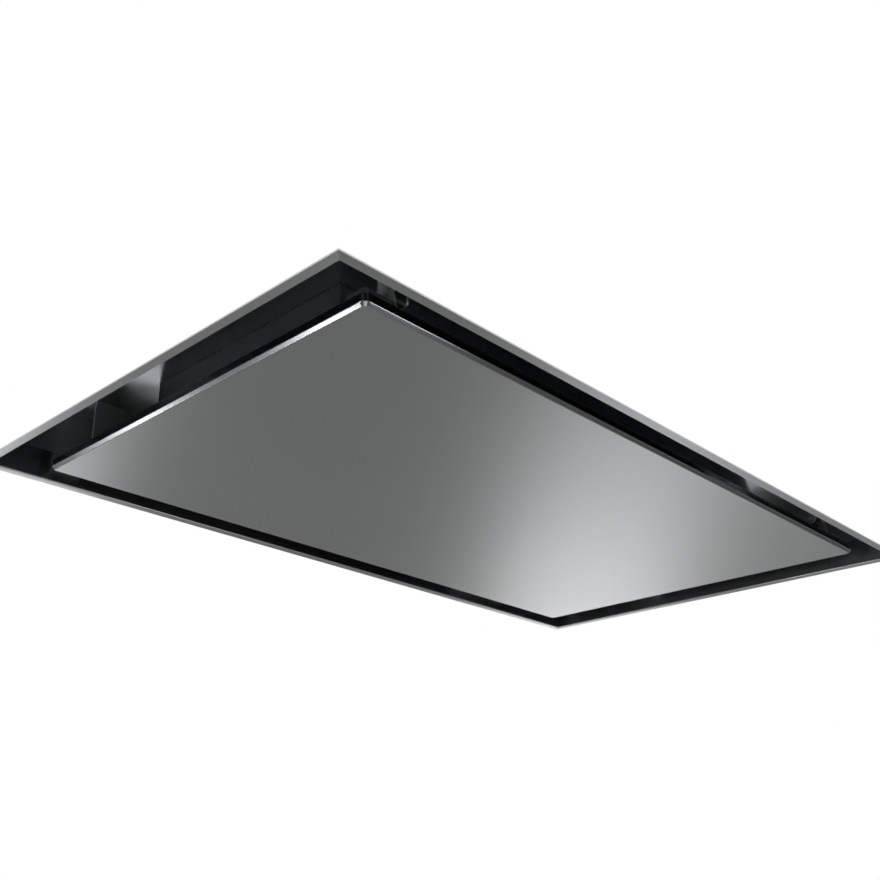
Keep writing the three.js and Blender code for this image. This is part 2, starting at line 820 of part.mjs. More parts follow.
// Every hinge piece is drawn for the right-hand hinge, in a group at its pivot block, with X
// pointing to the near end of the cover. The left-hand ones are the same, turned in a mirror.
const blockX = [-blockLength / 2, blockLength / 2];
const innerEarX = [blockX[0] - seatGap - earThickness, blockX[0] - seatGap];
const outerEarX = [blockX[1] + seatGap, blockX[1] + seatGap + earThickness];
const armEarX = [outerEarX[1] + seatGap, outerEarX[1] + seatGap + earThickness];
const hingeRoof = chamberHeight - seatGap - hingeHeight;
const armFloor = backingTop + seatGap - hingeHeight;
const pinHole = () => bar('x', pinRadius + seatGap, [-hingeEndInset, hingeEndInset], 24);

// Steel hanger under the tray's ceiling: two ears, a web behind them and a foot above.
function hingeHanger() {
  const y = [-blockWidth / 2, blockWidth / 2];
  const web = [y[1] + seatGap, y[1] + seatGap + earThickness];
  const ears = [innerEarX, outerEarX].map((x) => {
    const ear = new THREE.Shape();
    ear.moveTo(web[1], hingeRoof);
    ear.lineTo(y[0], hingeRoof);
    ear.absarc(0, 0, blockWidth / 2, Math.PI, 1.5 * Math.PI, false);
    ear.lineTo(web[1], -blockWidth / 2);
    ear.closePath();
    return run(ear, x, 6);
  });
  const back = block([innerEarX[0], outerEarX[1]], web, [0, hingeRoof]);
  const footX = [innerEarX[0] - blockWidth / 2, outerEarX[1] + blockWidth / 2];
  const foot = block(footX, [y[0], web[1] + blockWidth / 2], [hingeRoof - earThickness, hingeRoof]);
  return cut(join(foot, back, ...ears), pinHole());
}

// Black bearing block between the ears.
function hingeBlock() {
  const half = blockWidth / 2;
  const side = new THREE.Shape();
  side.moveTo(half, blockAbove);
  side.lineTo(-half, blockAbove);
  side.lineTo(-half, blockChamfer - blockBelow);
  side.lineTo(blockChamfer - half, -blockBelow);
  side.lineTo(half, -blockBelow);
  side.closePath();
  return cut(run(side, blockX), pinHole());
}

// Pin with a head outside the arm and a short stub inside the inner ear.
function hingePin() {
  const headStart = armEarX[1] + seatGap;
  const shank = bar('x', pinRadius, [innerEarX[0] - pinStub, headStart + pinHeadLength / 2], 24);
  return join(shank, bar('x', pinHeadRadius, [headStart, headStart + pinHeadLength], 24));
}

// Arm of the cover: an ear on the pin, and a foot on the backing.
function hingeArm() {
  const ear = new THREE.Shape();
  ear.moveTo(armFootWidth / 2, armFloor);
  ear.lineTo(armEarRadius, 0);
  ear.absarc(0, 0, armEarRadius, 0, Math.PI, false);
  ear.lineTo(-armFootWidth / 2, armFloor);
  ear.closePath();
  const footY = [-armFootWidth / 2, armFootWidth / 2];
  const foot = block([armEarX[0], armEarX[0] + armFootLength], footY, [armFloor, armFloor + earThickness]);
  return cut(join(run(ear, armEarX, 10), foot), pinHole());
}

// Moulded shoe that caps the arm's foot and its screws.
function hingeShoe() {
  const half = armFootWidth / 2;
  const floor = armFloor + earThickness + seatGap;
  const top = floor + shoeHeight;
  const end = new THREE.Shape();
  end.moveTo(half, floor);
  end.lineTo(half, top - half / 2);
  end.absarc(half / 2, top - half / 2, half / 2, 0, Math.PI / 2, false);
  end.absarc(-half / 2, top - half / 2, half / 2, Math.PI / 2, Math.PI, false);
  end.lineTo(-half, floor);
  end.closePath();
  return run(end, [armEarX[1] + seatGap, armEarX[0] + armFootLength], 6);
}

// ---------------------------------------------------------------- cover catches

const magnetFloor = backingTop + seatGap + strikeThickness + seatGap;
const magnetTop = magnetFloor + magnetHeight;

// Strap that carries the magnet, folded like a Z: foot above, web, and a ledge over the magnet.
function catchHanger() {
  const x = [-magnetLength / 2, magnetLength / 2];
  const roof = chamberHeight - seatGap;
  const ledge = [magnetTop + seatGap, magnetTop + seatGap + earThickness];
  const web = block(x, [magnetWidth / 2 - earThickness, magnetWidth / 2], [ledge[0], roof]);
  const low = block(x, [-magnetWidth / 2, magnetWidth / 2], ledge);
  const footY = [magnetWidth / 2 - earThickness, magnetWidth / 2 + catchFoot];
  const foot = block(x, footY, [roof - earThickness, roof]);
  return join(web, low, foot);
}

function catchMagnet() {
  const level = [magnetFloor, magnetTop];
  return block([-magnetLength / 2, magnetLength / 2], [-magnetWidth / 2, magnetWidth / 2], level);
}

function catchStrike() {
  const x = magnetLength / 2 + strikeMargin;
  const y = magnetWidth / 2 + strikeMargin;
  const floor = backingTop + seatGap;
  return block([-x, x], [-y, y], [floor, floor + strikeThickness]);
}

for (const { name, side } of [
  { name: 'left', side: -1 },
  { name: 'right', side: 1 },
]) {
  const mirrored = (geometry) => closedSkin(geometry.scale(side, 1, 1));
  const fixed = placedGroup(hood, side * hingeX, hingeY, hingeHeight);
  part(fixed, `hinge_hanger_${name}`, mirrored(hingeHanger()), hingeSteel);
  part(fixed, `hinge_block_${name}`, mirrored(hingeBlock()), blackPlastic);
  part(fixed, `hinge_pin_${name}`, mirrored(hingePin()), hingeSteel);

  const swinging = placedGroup(cover, side * hingeX, hingeY, hingeHeight);
  part(swinging, `hinge_arm_${name}`, mirrored(hingeArm()), hingeSteel);
  part(swinging, `hinge_shoe_${name}`, mirrored(hingeShoe()), greyPlastic);

  const catchPlace = placedGroup(hood, side * hingeX, catchY, 0);
  part(catchPlace, `catch_hanger_${name}`, catchHanger(), hingeSteel);
  part(catchPlace, `catch_magnet_${name}`, catchMagnet(), blackPlastic);
  const strikePlace = placedGroup(cover, side * hingeX, catchY, 0);
  part(strikePlace, `catch_strike_${name}`, catchStrike(), hingeSteel);
}

// ---------------------------------------------------------------- fan scroll

// Plan of the scroll, in the fan's own frame: a spiral from the tongue through just over three
// quarters of a turn, then a straight throat towards -Y. `extra` moves the whole outline outwards.
function scrollPlan(extra, exitY) {
  const tongue = Math.PI + Math.acos((ductOffset - extra) / (tongueRadius + extra));
  const end = 3 * Math.PI;
  const growth = (throatEnd - tongueRadius) / (end - tongue);
  const steps = 42;
  const plan = new THREE.Shape();
  for (let i = 0; i <= steps; i++) {
    const turn = tongue + ((end - tongue) * i) / steps;
    const radius = tongueRadius + extra + growth * (turn - tongue);
    const x = radius * Math.cos(turn);
    const y = radius * Math.sin(turn);
    if (i === 0) plan.moveTo(x, y);
    else plan.lineTo(x, y);
  }
  plan.lineTo(-throatEnd - extra, exitY);
  plan.lineTo(-ductOffset + extra, exitY);
  plan.closePath();
  return plan;
}

const exitY = scrollExitY - fanY;

// Floor and spiral wall in one moulding, open above and at the throat.
function scrollBody() {
  const outer = slab(scrollPlan(scrollWall, exitY), [scrollBottom, scrollTop]);
  const inner = slab(scrollPlan(0, exitY - cutOver), [scrollFloor, scrollTop + cutOver]);
  const rim = slab(scrollPlan(scrollWall + lidRim, exitY), [scrollTop - scrollWall, scrollTop]);
  const mouth = bar('z', inletMouth + seatGap, [scrollBottom - cutOver, scrollFloor + cutOver], 48);
  return cut(join(outer, rim), inner, mouth);
}

// Flat lid of the scroll. The motor hangs under it and shows through its middle.
function scrollLid() {
  const plate = slab(scrollPlan(scrollWall + lidRim, exitY), [lidBottom, lidTop]);
  return cut(plate, bar('z', lidOpeningRadius, [lidBottom - cutOver, lidTop + cutOver], 36));
}

// Rolled inlet: flat flange under the floor, then a quarter ellipse up to the throat.
function inletRing() {
  const flangeTop = scrollBottom - seatGap;
  const flangeLow = flangeTop - inletSheet;
  const lipTop = wheelFloor + inletLip;
  const bendTop = wheelFloor;
  const steps = 5;
  const arc = (extra, level) => {
    const points = [];
    for (let i = 0; i <= steps; i++) {
      const turn = ((Math.PI / 2) * i) / steps;
      const radius = inletMouth - (inletMouth - inletThroat - extra) * Math.sin(turn);
      points.push([radius, bendTop - (bendTop - level) * Math.cos(turn)]);
    }
    return points;
  };
  const profile = [
    [inletMouth + inletFlange, flangeLow],
    [inletMouth + inletFlange, flangeTop],
    ...arc(inletSheet, flangeTop),
    [inletThroat + inletSheet, lipTop],
    [inletThroat, lipTop],
    ...arc(0, flangeLow).reverse(),
    [inletMouth + inletFlange, flangeLow],
  ];
  return turned(profile, 36);
}

// ---------------------------------------------------------------- motor and wheel

const motorFlangeFloor = scrollTop - motorFlangeThickness;
const wheelTop = scrollTop - wheelTopGap;
const wheelFloor = scrollFloor + wheelBottomGap;
const dishFloor = wheelTop - wheelDishDepth;
const motorFloor = dishFloor + wheelPlate + motorDishGap;
const bossFloor = dishFloor - bossLength;
const shaftTop = motorFloor + shaftGrip;
const nutFloor = bossFloor - seatGap - nutHeight;

// Closed motor hung under the lid: round can with cooling fins, flange above, shaft hole below.
function motor() {
  const bore = shaftRadius + seatGap;
  const can = motorRadius - finDepth;
  const profile = [
    [0, shaftTop + seatGap],
    [bore, shaftTop + seatGap],
    [bore, motorFloor],
    [can - motorShoulder, motorFloor],
    [can, motorFloor + motorShoulder],
    [can, motorFlangeFloor],
    [motorFlangeRadius, motorFlangeFloor],
    [motorFlangeRadius, scrollTop],
    [0, scrollTop],
  ];
  const finLevel = [motorFloor + 2 * motorShoulder, scrollTop - motorFlangeThickness / 2];
  const fins = [];
  for (let i = 0; i < motorFins; i++) {
    const fin = block([can - finDepth, motorRadius], [-finWidth / 2, finWidth / 2], finLevel);
    fins.push(fin.rotateZ((2 * Math.PI * i) / motorFins));
  }
  return join(turned(profile, 36), ...fins);
}

// Moulded outlet on the motor's back that the lead comes out of.
function leadOutlet() {
  const x = [leadOutletInset, leadOutletInset + leadOutletLength];
  const y = leadOutletWidth / 2;
  return block(x, [-y, y], [scrollTop + seatGap, cableLevel + leadOutletRise]);
}

function motorShaft() {
  return bar('z', shaftRadius, [nutFloor - shaftEnd, shaftTop], 20);
}

function wheelNut() {
  const hexagon = new THREE.Shape();
  for (let i = 0; i < 6; i++) {
    const turn = (Math.PI / 3) * i;
    const [x, y] = [nutRadius * Math.cos(turn), nutRadius * Math.sin(turn)];
    if (i === 0) hexagon.moveTo(x, y);
    else hexagon.lineTo(x, y);
  }
  hexagon.closePath();
  const level = [nutFloor, nutFloor + nutHeight];
  const bore = bar('z', shaftRadius + seatGap, [level[0] - cutOver, level[1] + cutOver], 20);
  return cut(slab(hexagon, level), bore);
}

// Plan of one blade: a strip along a curve whose tip leans ahead, the way the wheel turns.
function bladePlan() {
  const inner = bladeInnerRadius;
  const outer = wheelRadius - wheelPlate / 4;
  const centre = [];
  for (let i = 0; i <= bladeSteps; i++) {
    const share = i / bladeSteps;
    const radius = inner + (outer - inner) * share;
    const turn = bladeSweep * share * share;
    centre.push(new THREE.Vector2(radius * Math.cos(turn), radius * Math.sin(turn)));
  }
  const side = (sign) =>
    centre.map((point, i) => {
      const before = centre[Math.max(i - 1, 0)];
      const after = centre[Math.min(i + 1, bladeSteps)];
      const along = after.clone().sub(before).normalize();
      const offset = new THREE.Vector2(-along.y, along.x).multiplyScalar((sign * bladeThickness) / 2);
      return point.clone().add(offset);
    });
  return new THREE.Shape([...side(-1), ...side(1).reverse()]);
}

// Dished disc with a boss on the shaft. The blades' ring is pressed round its rim.
function wheelDisc() {
  const bore = shaftRadius + seatGap;
  const rim = wheelRingInner - seatGap;
  const dishTop = dishRadius + dishRise;
  const profile = [
    [bore, bossFloor],
    [bossRadius, bossFloor],
    [bossRadius, dishFloor],
    [dishRadius, dishFloor],
    [dishTop, wheelTop - wheelPlate],
    [rim, wheelTop - wheelPlate],
    [rim, wheelTop],
    [dishTop - wheelPlate, wheelTop],
    [dishRadius - wheelPlate, dishFloor + wheelPlate],
    [bore, dishFloor + wheelPlate],
    [bore, bossFloor],
  ];
  return turned(profile, 44);
}

// Ring of forward-curved blades between a flat ring at the motor side and a shroud at the inlet.
function fanWheel() {
  const ring = (inner, floor) => {
    const top = floor + wheelPlate;
    const corners = [[inner, floor], [wheelRadius, floor], [wheelRadius, top], [inner, top], [inner, floor]];
    return turned(corners, 44);
  };
  const plan = bladePlan();
  const blades = [];
  for (let i = 0; i < bladeCount; i++) {
    const blade = slab(plan, [wheelFloor + wheelPlate / 2, wheelTop - wheelPlate / 2]);
    blades.push(blade.rotateZ((2 * Math.PI * i) / bladeCount));
  }
  const motorRing = ring(wheelRingInner, wheelTop - wheelPlate);
  const shroud = ring(wheelRadius - shroudWidth, wheelFloor);
  return join(motorRing, shroud, ...blades);
}

const rubberMount = () => bar('z', rubberRadius, [lidTop + seatGap, roofUnderside - seatGap], 24);

const fan = placedGroup(hood, fanX, fanY, 0);
part(fan, 'scroll_body', scrollBody(), blackPlastic);
part(fan, 'scroll_lid', scrollLid(), blackPlastic);
part(fan, 'inlet_ring', inletRing(), blackPlastic);
part(fan, 'motor', motor(), zincSheet);
part(fan, 'lead_outlet', leadOutlet(), blackPlastic);
part(fan, 'motor_shaft', motorShaft(), hingeSteel);
part(fan, 'wheel_nut', wheelNut(), hingeSteel);
part(fan, 'wheel_disc', wheelDisc(), blackPlastic);
part(fan, 'fan_wheel', fanWheel(), blackPlastic);
for (const { name, sideX, sideY } of roofCorners) {
  const corner = placedGroup(fan, sideX * rubberOffset, sideY * rubberOffset, 0);
  part(corner, `rubber_mount_${name}`, rubberMount(), blackRubber);
}

// ---------------------------------------------------------------- outlet

// The outlet group looks out of the rear wall: its Z runs outwards along the duct, its Y is up.
const collarInner = collarRadius - collarWall;
const flapRadius = collarInner - flapClearance;

function outletCollar() {
  const profile = [
    [collarInner, -sheet],
    [collarRadius, -sheet],
    [collarRadius, seatGap],
    [collarRadius + collarFlange, seatGap],
    [collarRadius + collarFlange, seatGap + collarFlangeThickness],
    [collarRadius, seatGap + collarFlangeThickness],
    [collarRadius, collarLength],
    [collarInner, collarLength],
    [collarInner, -sheet],
  ];
  const pivots = [-1, 1].map((side) => {
    const hole = bar('y', flapPinRadius + seatGap, [-collarRadius - cutOver, collarRadius + cutOver], 12);
    return hole.translate(side * flapPivotOffset, 0, flapPlane);
  });
  return cut(turned(profile, 40), ...pivots);
}

// Half disc on an upright barrel, with a pin at each end that turns in the collar.
function outletFlap() {
  const disc = new THREE.Shape();
  disc.absarc(0, 0, flapRadius, -Math.PI / 2, Math.PI / 2, false);
  disc.closePath();
  const half = flapThickness / 2;
  const plate = slab(disc, [-half, half], 18);
  const beyond = block(
    [-cutOver, flapPivotOffset],
    [-flapRadius - cutOver, flapRadius + cutOver],
    [-flapBarrelRadius, flapBarrelRadius],
  );
  const reach = Math.sqrt(flapRadius ** 2 - (flapPivotOffset + flapBarrelRadius) ** 2);
  const barrel = bar('y', flapBarrelRadius, [-reach, reach], 12).translate(flapPivotOffset, 0, 0);
  const pin = bar('y', flapPinRadius, [-collarRadius, collarRadius], 12).translate(flapPivotOffset, 0, 0);
  return join(cut(plate, beyond), barrel, pin).translate(0, 0, flapPlane);
}

const outlet = placedGroup(hood, outletX, -casingOuterY, outletZ);
outlet.rotation.x = Math.PI / 2;
part(outlet, 'outlet_collar', outletCollar(), greyPlastic);
part(outlet, 'flap_right', outletFlap(), blackPlastic);
part(outlet, 'flap_left', outletFlap().rotateZ(Math.PI), blackPlastic);

export default hood;
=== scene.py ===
"""A flush ceiling range hood, seen from below: its looks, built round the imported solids. Metres."""

import math

import bmesh
import bpy
from mathutils import Matrix, Vector


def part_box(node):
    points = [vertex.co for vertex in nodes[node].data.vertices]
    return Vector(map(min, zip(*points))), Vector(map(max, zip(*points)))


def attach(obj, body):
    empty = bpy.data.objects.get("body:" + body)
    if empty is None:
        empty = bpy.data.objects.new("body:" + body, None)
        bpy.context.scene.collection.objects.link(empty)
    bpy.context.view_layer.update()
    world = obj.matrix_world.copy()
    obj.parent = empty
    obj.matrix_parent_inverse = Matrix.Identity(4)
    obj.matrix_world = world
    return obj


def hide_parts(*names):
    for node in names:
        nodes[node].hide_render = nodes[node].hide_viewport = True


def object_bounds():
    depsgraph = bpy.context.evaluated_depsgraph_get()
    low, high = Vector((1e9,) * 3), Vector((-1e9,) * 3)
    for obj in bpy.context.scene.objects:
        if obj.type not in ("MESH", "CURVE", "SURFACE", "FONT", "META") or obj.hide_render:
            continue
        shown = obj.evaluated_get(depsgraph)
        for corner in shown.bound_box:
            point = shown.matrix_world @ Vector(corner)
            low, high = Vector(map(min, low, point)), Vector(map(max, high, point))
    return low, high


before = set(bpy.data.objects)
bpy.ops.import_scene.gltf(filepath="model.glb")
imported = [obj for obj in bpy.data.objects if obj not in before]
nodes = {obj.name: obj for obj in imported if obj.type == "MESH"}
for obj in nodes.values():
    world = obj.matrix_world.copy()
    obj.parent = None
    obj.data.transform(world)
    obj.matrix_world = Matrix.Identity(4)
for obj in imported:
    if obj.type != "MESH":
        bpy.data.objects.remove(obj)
cad_low, cad_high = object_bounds()
scene = bpy.context.scene


# ---------------------------------------------------------------- camera
# The photograph is taken from below one corner, with the near short side at the left. Its frame is
# a crop, so the lens axis lies a little left of the middle, which the shift follows.

PHOTO_SIDE = 880
FOCAL_PIXELS = 1068.4
AXIS_PIXEL_X = 380
SENSOR_WIDTH = 36
CAMERA_PLACE = Vector((-0.8314, -0.6743, -0.3837))
CAMERA_YAW = math.radians(45.365)
CAMERA_PITCH = math.radians(23.864)
CAMERA_ROLL = math.radians(0.221)

camera_data = bpy.data.cameras.new("camera")
camera_data.sensor_width = SENSOR_WIDTH
camera_data.lens = SENSOR_WIDTH * FOCAL_PIXELS / PHOTO_SIDE
camera_data.shift_x = (PHOTO_SIDE / 2 - AXIS_PIXEL_X) / PHOTO_SIDE
camera = bpy.data.objects.new("camera", camera_data)
scene.collection.objects.link(camera)
scene.camera = camera

ahead = Vector((
    math.cos(CAMERA_PITCH) * math.cos(CAMERA_YAW),
    math.cos(CAMERA_PITCH) * math.sin(CAMERA_YAW),
    math.sin(CAMERA_PITCH),
))
facing = ahead.to_track_quat("-Z", "Y").to_matrix().to_4x4()
camera.matrix_world = Matrix.Translation(CAMERA_PLACE) @ facing @ Matrix.Rotation(CAMERA_ROLL, 4, "Z")

scene.view_settings.view_transform = "Standard"


# ---------------------------------------------------------------- motor lead
# Round black lead of 5 mm from the motor to the control box. It lies loose over the scroll's lid
# and goes in at the side of the box, so neither end shows.

CABLE_RADIUS = 0.0025
CABLE_SAMPLES = 14
CABLE_ROUTE = [
    (0.0540, 0.0400, 0.2862),
    (0.0720, 0.0380, 0.2862),
    (0.1040, 0.0220, 0.2862),
    (0.1340, -0.0140, 0.2862),
    (0.1530, -0.0620, 0.2845),
    (0.1700, -0.1080, 0.2745),
    (0.1960, -0.1460, 0.2634),
    (0.2240, -0.1606, 0.2622),
    (0.2397, -0.1612, 0.2622),
]


def material(name, colour, roughness, metallic=0.0, **sockets):
    """A plain Principled material, for the nodes that follow to refine."""
    made = bpy.data.materials.new(name)
    made.use_nodes = True
    shader = made.node_tree.nodes["Principled BSDF"]
    shader.inputs["Base Color"].default_value = (*colour, 1)
    shader.inputs["Roughness"].default_value = roughness
    shader.inputs["Metallic"].default_value = metallic
    for socket, value in sockets.items():
        shader.inputs[socket.replace("_", " ")].default_value = value
    return made


def add(tree, kind, operation=None, **values):
    """A node with its operation and its named inputs set."""
    node = tree.nodes.new(kind)
    if operation:
        node.operation = operation
    for name, value in values.items():
        node.inputs[name.replace("_", " ")].default_value = value
    return node


def wire(tree, links):
    """Links each pair of sockets."""
    for start, end in links:
        tree.links.new(start, end)


def maths(tree, operation, *terms):
    """The result of a Math node, whose terms are sockets to link or plain numbers."""
    node = add(tree, "ShaderNodeMath", operation)
    for term, socket in zip(terms, node.inputs):
        if isinstance(term, bpy.types.NodeSocket):
            tree.links.new(term, socket)
        else:
            socket.default_value = term
    return node.outputs[0]


def shader_group(name, inputs, outputs):
    """A shader node group whose inputs are (name, type, default) and outputs (name, type)."""
    group = bpy.data.node_groups.new(name, "ShaderNodeTree")
    for label, kind, default in inputs:
        socket = group.interface.new_socket(label, in_out="INPUT", socket_type=kind)
        socket.default_value = default
    for label, kind in outputs:
        group.interface.new_socket(label, in_out="OUTPUT", socket_type=kind)
    return group, add(group, "NodeGroupInput"), add(group, "NodeGroupOutput")


def moulded_grain():
    """Fine moulded texture in the height, with a broad drift in the gloss."""
    group, given, out = shader_group(
        "moulded_grain",
        [
            ("Grain per metre", "NodeSocketFloat", 900.0),
            ("Depth", "NodeSocketFloat", 0.3),
            ("Roughness", "NodeSocketFloat", 0.5),
            ("Drift", "NodeSocketFloat", 0.15),
        ],
        [("Roughness", "NodeSocketFloat"), ("Normal", "NodeSocketVector")],
    )
    place = add(group, "ShaderNodeTexCoord")
    fine = add(group, "ShaderNodeTexNoise", Detail=3)
    bump = add(group, "ShaderNodeBump", Distance=0.0001)
    broad = add(group, "ShaderNodeTexNoise", Scale=25)
    drift = maths(group, "SUBTRACT", broad.outputs["Fac"], 0.5)
    rough = maths(group, "MULTIPLY_ADD", drift, given.outputs["Drift"], given.outputs["Roughness"])
    wire(group, [
        (place.outputs["Object"], fine.inputs["Vector"]),
        (given.outputs["Grain per metre"], fine.inputs["Scale"]),
        (fine.outputs["Fac"], bump.inputs["Height"]),
        (given.outputs["Depth"], bump.inputs["Strength"]),
        (bump.outputs["Normal"], out.inputs["Normal"]),
        (place.outputs["Object"], broad.inputs["Vector"]),
        (rough, out.inputs["Roughness"]),
    ])
    return group


GRAIN = moulded_grain()
SHADER_SOCKETS = {"Colour": "Base Color", "Roughness": "Roughness", "Normal": "Normal"}


def refine(made, group, **values):
    """Places a group in a material with its own values, and feeds the shader from its outputs."""
    tree = made.node_tree
    node = add(tree, "ShaderNodeGroup")
    node.node_tree = group
    for label, value in values.items():
        node.inputs[label.replace("_", " ")].default_value = value
    for output in node.outputs:
        tree.links.new(output, tree.nodes["Principled BSDF"].inputs[SHADER_SOCKETS[output.name]])
    return node


def moulded(name, colour, roughness, grain=900.0, depth=0.3, drift=0.15):
    """Moulded plastic or rubber in one colour."""
    made = material(name, colour, roughness)
    refine(made, GRAIN, Grain_per_metre=grain, Depth=depth, Roughness=roughness, Drift=drift)
    return made


def smooth_route(points, samples):
    """Points along a centripetal Catmull-Rom curve through the given ones."""
    path = [Vector(point) for point in points]
    path = [2 * path[0] - path[1], *path, 2 * path[-1] - path[-2]]
    found = []
    for before, start, end, after in zip(path, path[1:], path[2:], path[3:]):
        knots = [0.0]
        for a, b in ((before, start), (start, end), (end, after)):
            knots.append(knots[-1] + math.sqrt((b - a).length))
        for i in range(samples):
            t = knots[1] + (knots[2] - knots[1]) * i / samples
            near = before.lerp(start, (t - knots[0]) / (knots[1] - knots[0]))
            middle = start.lerp(end, (t - knots[1]) / (knots[2] - knots[1]))
            far = end.lerp(after, (t - knots[2]) / (knots[3] - knots[2]))
            near = near.lerp(middle, (t - knots[0]) / (knots[2] - knots[0]))
            far = middle.lerp(far, (t - knots[1]) / (knots[3] - knots[1]))
            found.append(near.lerp(far, (t - knots[1]) / (knots[2] - knots[1])))
    return [*found, path[-2]]


cable_curve = bpy.data.curves.new("motor_lead", "CURVE")
cable_curve.dimensions = "3D"
cable_curve.bevel_depth = CABLE_RADIUS
cable_curve.bevel_resolution = 4
cable_curve.use_fill_caps = True
cable_points = smooth_route(CABLE_ROUTE, CABLE_SAMPLES)
cable_line = cable_curve.splines.new("POLY")
cable_line.points.add(len(cable_points) - 1)
for target, point in zip(cable_line.points, cable_points):
    target.co = (*point, 1)
cable_line.use_smooth = True
cable = bpy.data.objects.new("motor_lead", cable_curve)
scene.collection.objects.link(cable)
cable.data.materials.append(moulded("lead_black", (0.012, 0.012, 0.013), 0.45, grain=1500, depth=0.1))
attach(cable, "casing")
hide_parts("motor_cable")


# ---------------------------------------------------------------- edges of the sheet and mouldings
# Every solid but the filters' mesh and the motor lead has its edges broken, as pressed and moulded
# pieces have, and round surfaces shade as one surface.

EDGE_ANGLE = math.radians(40)
SHADE_ANGLE = math.radians(32)
WELD_REACH = 0.00001


def shade_by_angle(name, angle):
    """A tree that shades a mesh smooth except across edges that turn more than the angle."""
    tree = bpy.data.node_groups.new(name, "GeometryNodeTree")
    tree.interface.new_socket("Geometry", in_out="INPUT", socket_type="NodeSocketGeometry")
    tree.interface.new_socket("Geometry", in_out="OUTPUT", socket_type="NodeSocketGeometry")
    given = add(tree, "NodeGroupInput")
    out = add(tree, "NodeGroupOutput")
    faces = add(tree, "GeometryNodeSetShadeSmooth")
    faces.domain = "FACE"
    edges = add(tree, "GeometryNodeSetShadeSmooth", Shade_Smooth=False)
    edges.domain = "EDGE"
    turn = add(tree, "GeometryNodeInputMeshEdgeAngle")
    wire(tree, [
        (given.outputs[0], faces.inputs["Geometry"]),
        (faces.outputs["Geometry"], edges.inputs["Geometry"]),
        (maths(tree, "GREATER_THAN", turn.outputs["Unsigned Angle"], angle), edges.inputs["Selection"]),
        (edges.outputs["Geometry"], out.inputs[0]),
    ])
    return tree


SHADING = shade_by_angle("shade_by_angle", SHADE_ANGLE)


def soften(piece, edge, segments=2):
    """Rounds the edges of a piece and shades it smooth, with its flats kept flat."""
    if edge:
        bevel = piece.modifiers.new("edges", "BEVEL")
        bevel.width = edge
        bevel.segments = segments
        bevel.limit_method = "ANGLE"
        bevel.angle_limit = EDGE_ANGLE
        bevel.use_clamp_overlap = True
    shading = piece.modifiers.new("shading", "NODES")
    shading.node_group = SHADING
    flats = piece.modifiers.new("flats", "WEIGHTED_NORMAL")
    flats.mode = "FACE_AREA"
    flats.keep_sharp = True


def dress(finish, names, edge=0.0003):
    """Gives CAD nodes a finish, welds their facets and rounds their edges."""
    for name in names:
        node = nodes[name]
        node.data.materials.clear()
        node.data.materials.append(finish)
        weld = node.modifiers.new("weld", "WELD")
        weld.merge_threshold = WELD_REACH
        soften(node, edge)


# ---------------------------------------------------------------- trim frame
# Stainless sheet of 1.2 to 1.5 mm: a flange that laps the ceiling, brushed along each side and
# mitred at the corners, and a smooth upstand that enters the opening.

TRIM_BEND = 0.0009
LINES_SHARE = 0.6


def mixed(tree, factor, low, high):
    """The colour between two others, which are sockets to link or plain colours."""
    node = add(tree, "ShaderNodeMix")
    node.data_type = "RGBA"
    tree.links.new(factor, node.inputs["Factor"])
    for colour, socket in ((low, node.inputs[6]), (high, node.inputs[7])):
        if isinstance(colour, bpy.types.NodeSocket):
            tree.links.new(colour, socket)
        else:
            socket.default_value = (*colour, 1)
    return node.outputs[2]


def brushed_sheet():
    """Fine lines along the X of the given vector, with slow clouds over the sheet."""
    group, given, out = shader_group(
        "brushed_sheet",
        [
            ("Vector", "NodeSocketVector", (0.0, 0.0, 0.0)),
            ("Dark", "NodeSocketColor", (0.5, 0.5, 0.5, 1.0)),
            ("Light", "NodeSocketColor", (0.6, 0.6, 0.6, 1.0)),
            ("Roughness", "NodeSocketFloat", 0.3),
            ("Swing", "NodeSocketFloat", 0.1),
            ("Depth", "NodeSocketFloat", 0.1),
        ],
        [
            ("Colour", "NodeSocketColor"),
            ("Roughness", "NodeSocketFloat"),
            ("Normal", "NodeSocketVector"),
        ],
    )
    lines = add(group, "ShaderNodeTexNoise", Scale=1, Detail=4, Roughness=0.6)
    place = add(group, "ShaderNodeTexCoord")
    clouds = add(group, "ShaderNodeTexNoise", Scale=4, Detail=3)
    cloudy = maths(group, "MULTIPLY", clouds.outputs["Fac"], 1 - LINES_SHARE)
    share = maths(group, "MULTIPLY_ADD", lines.outputs["Fac"], LINES_SHARE, cloudy)
    swing = maths(group, "SUBTRACT", share, 0.5)
    rough = maths(group, "MULTIPLY_ADD", swing, given.outputs["Swing"], given.outputs["Roughness"])
    bump = add(group, "ShaderNodeBump", Distance=0.00005)
    wire(group, [
        (given.outputs["Vector"], lines.inputs["Vector"]),
        (place.outputs["Object"], clouds.inputs["Vector"]),
        (mixed(group, share, given.outputs["Dark"], given.outputs["Light"]), out.inputs["Colour"]),
        (rough, out.inputs["Roughness"]),
        (lines.outputs["Fac"], bump.inputs["Height"]),
        (given.outputs["Depth"], bump.inputs["Strength"]),
        (bump.outputs["Normal"], out.inputs["Normal"]),
    ])
    return group


BRUSHED = brushed_sheet()


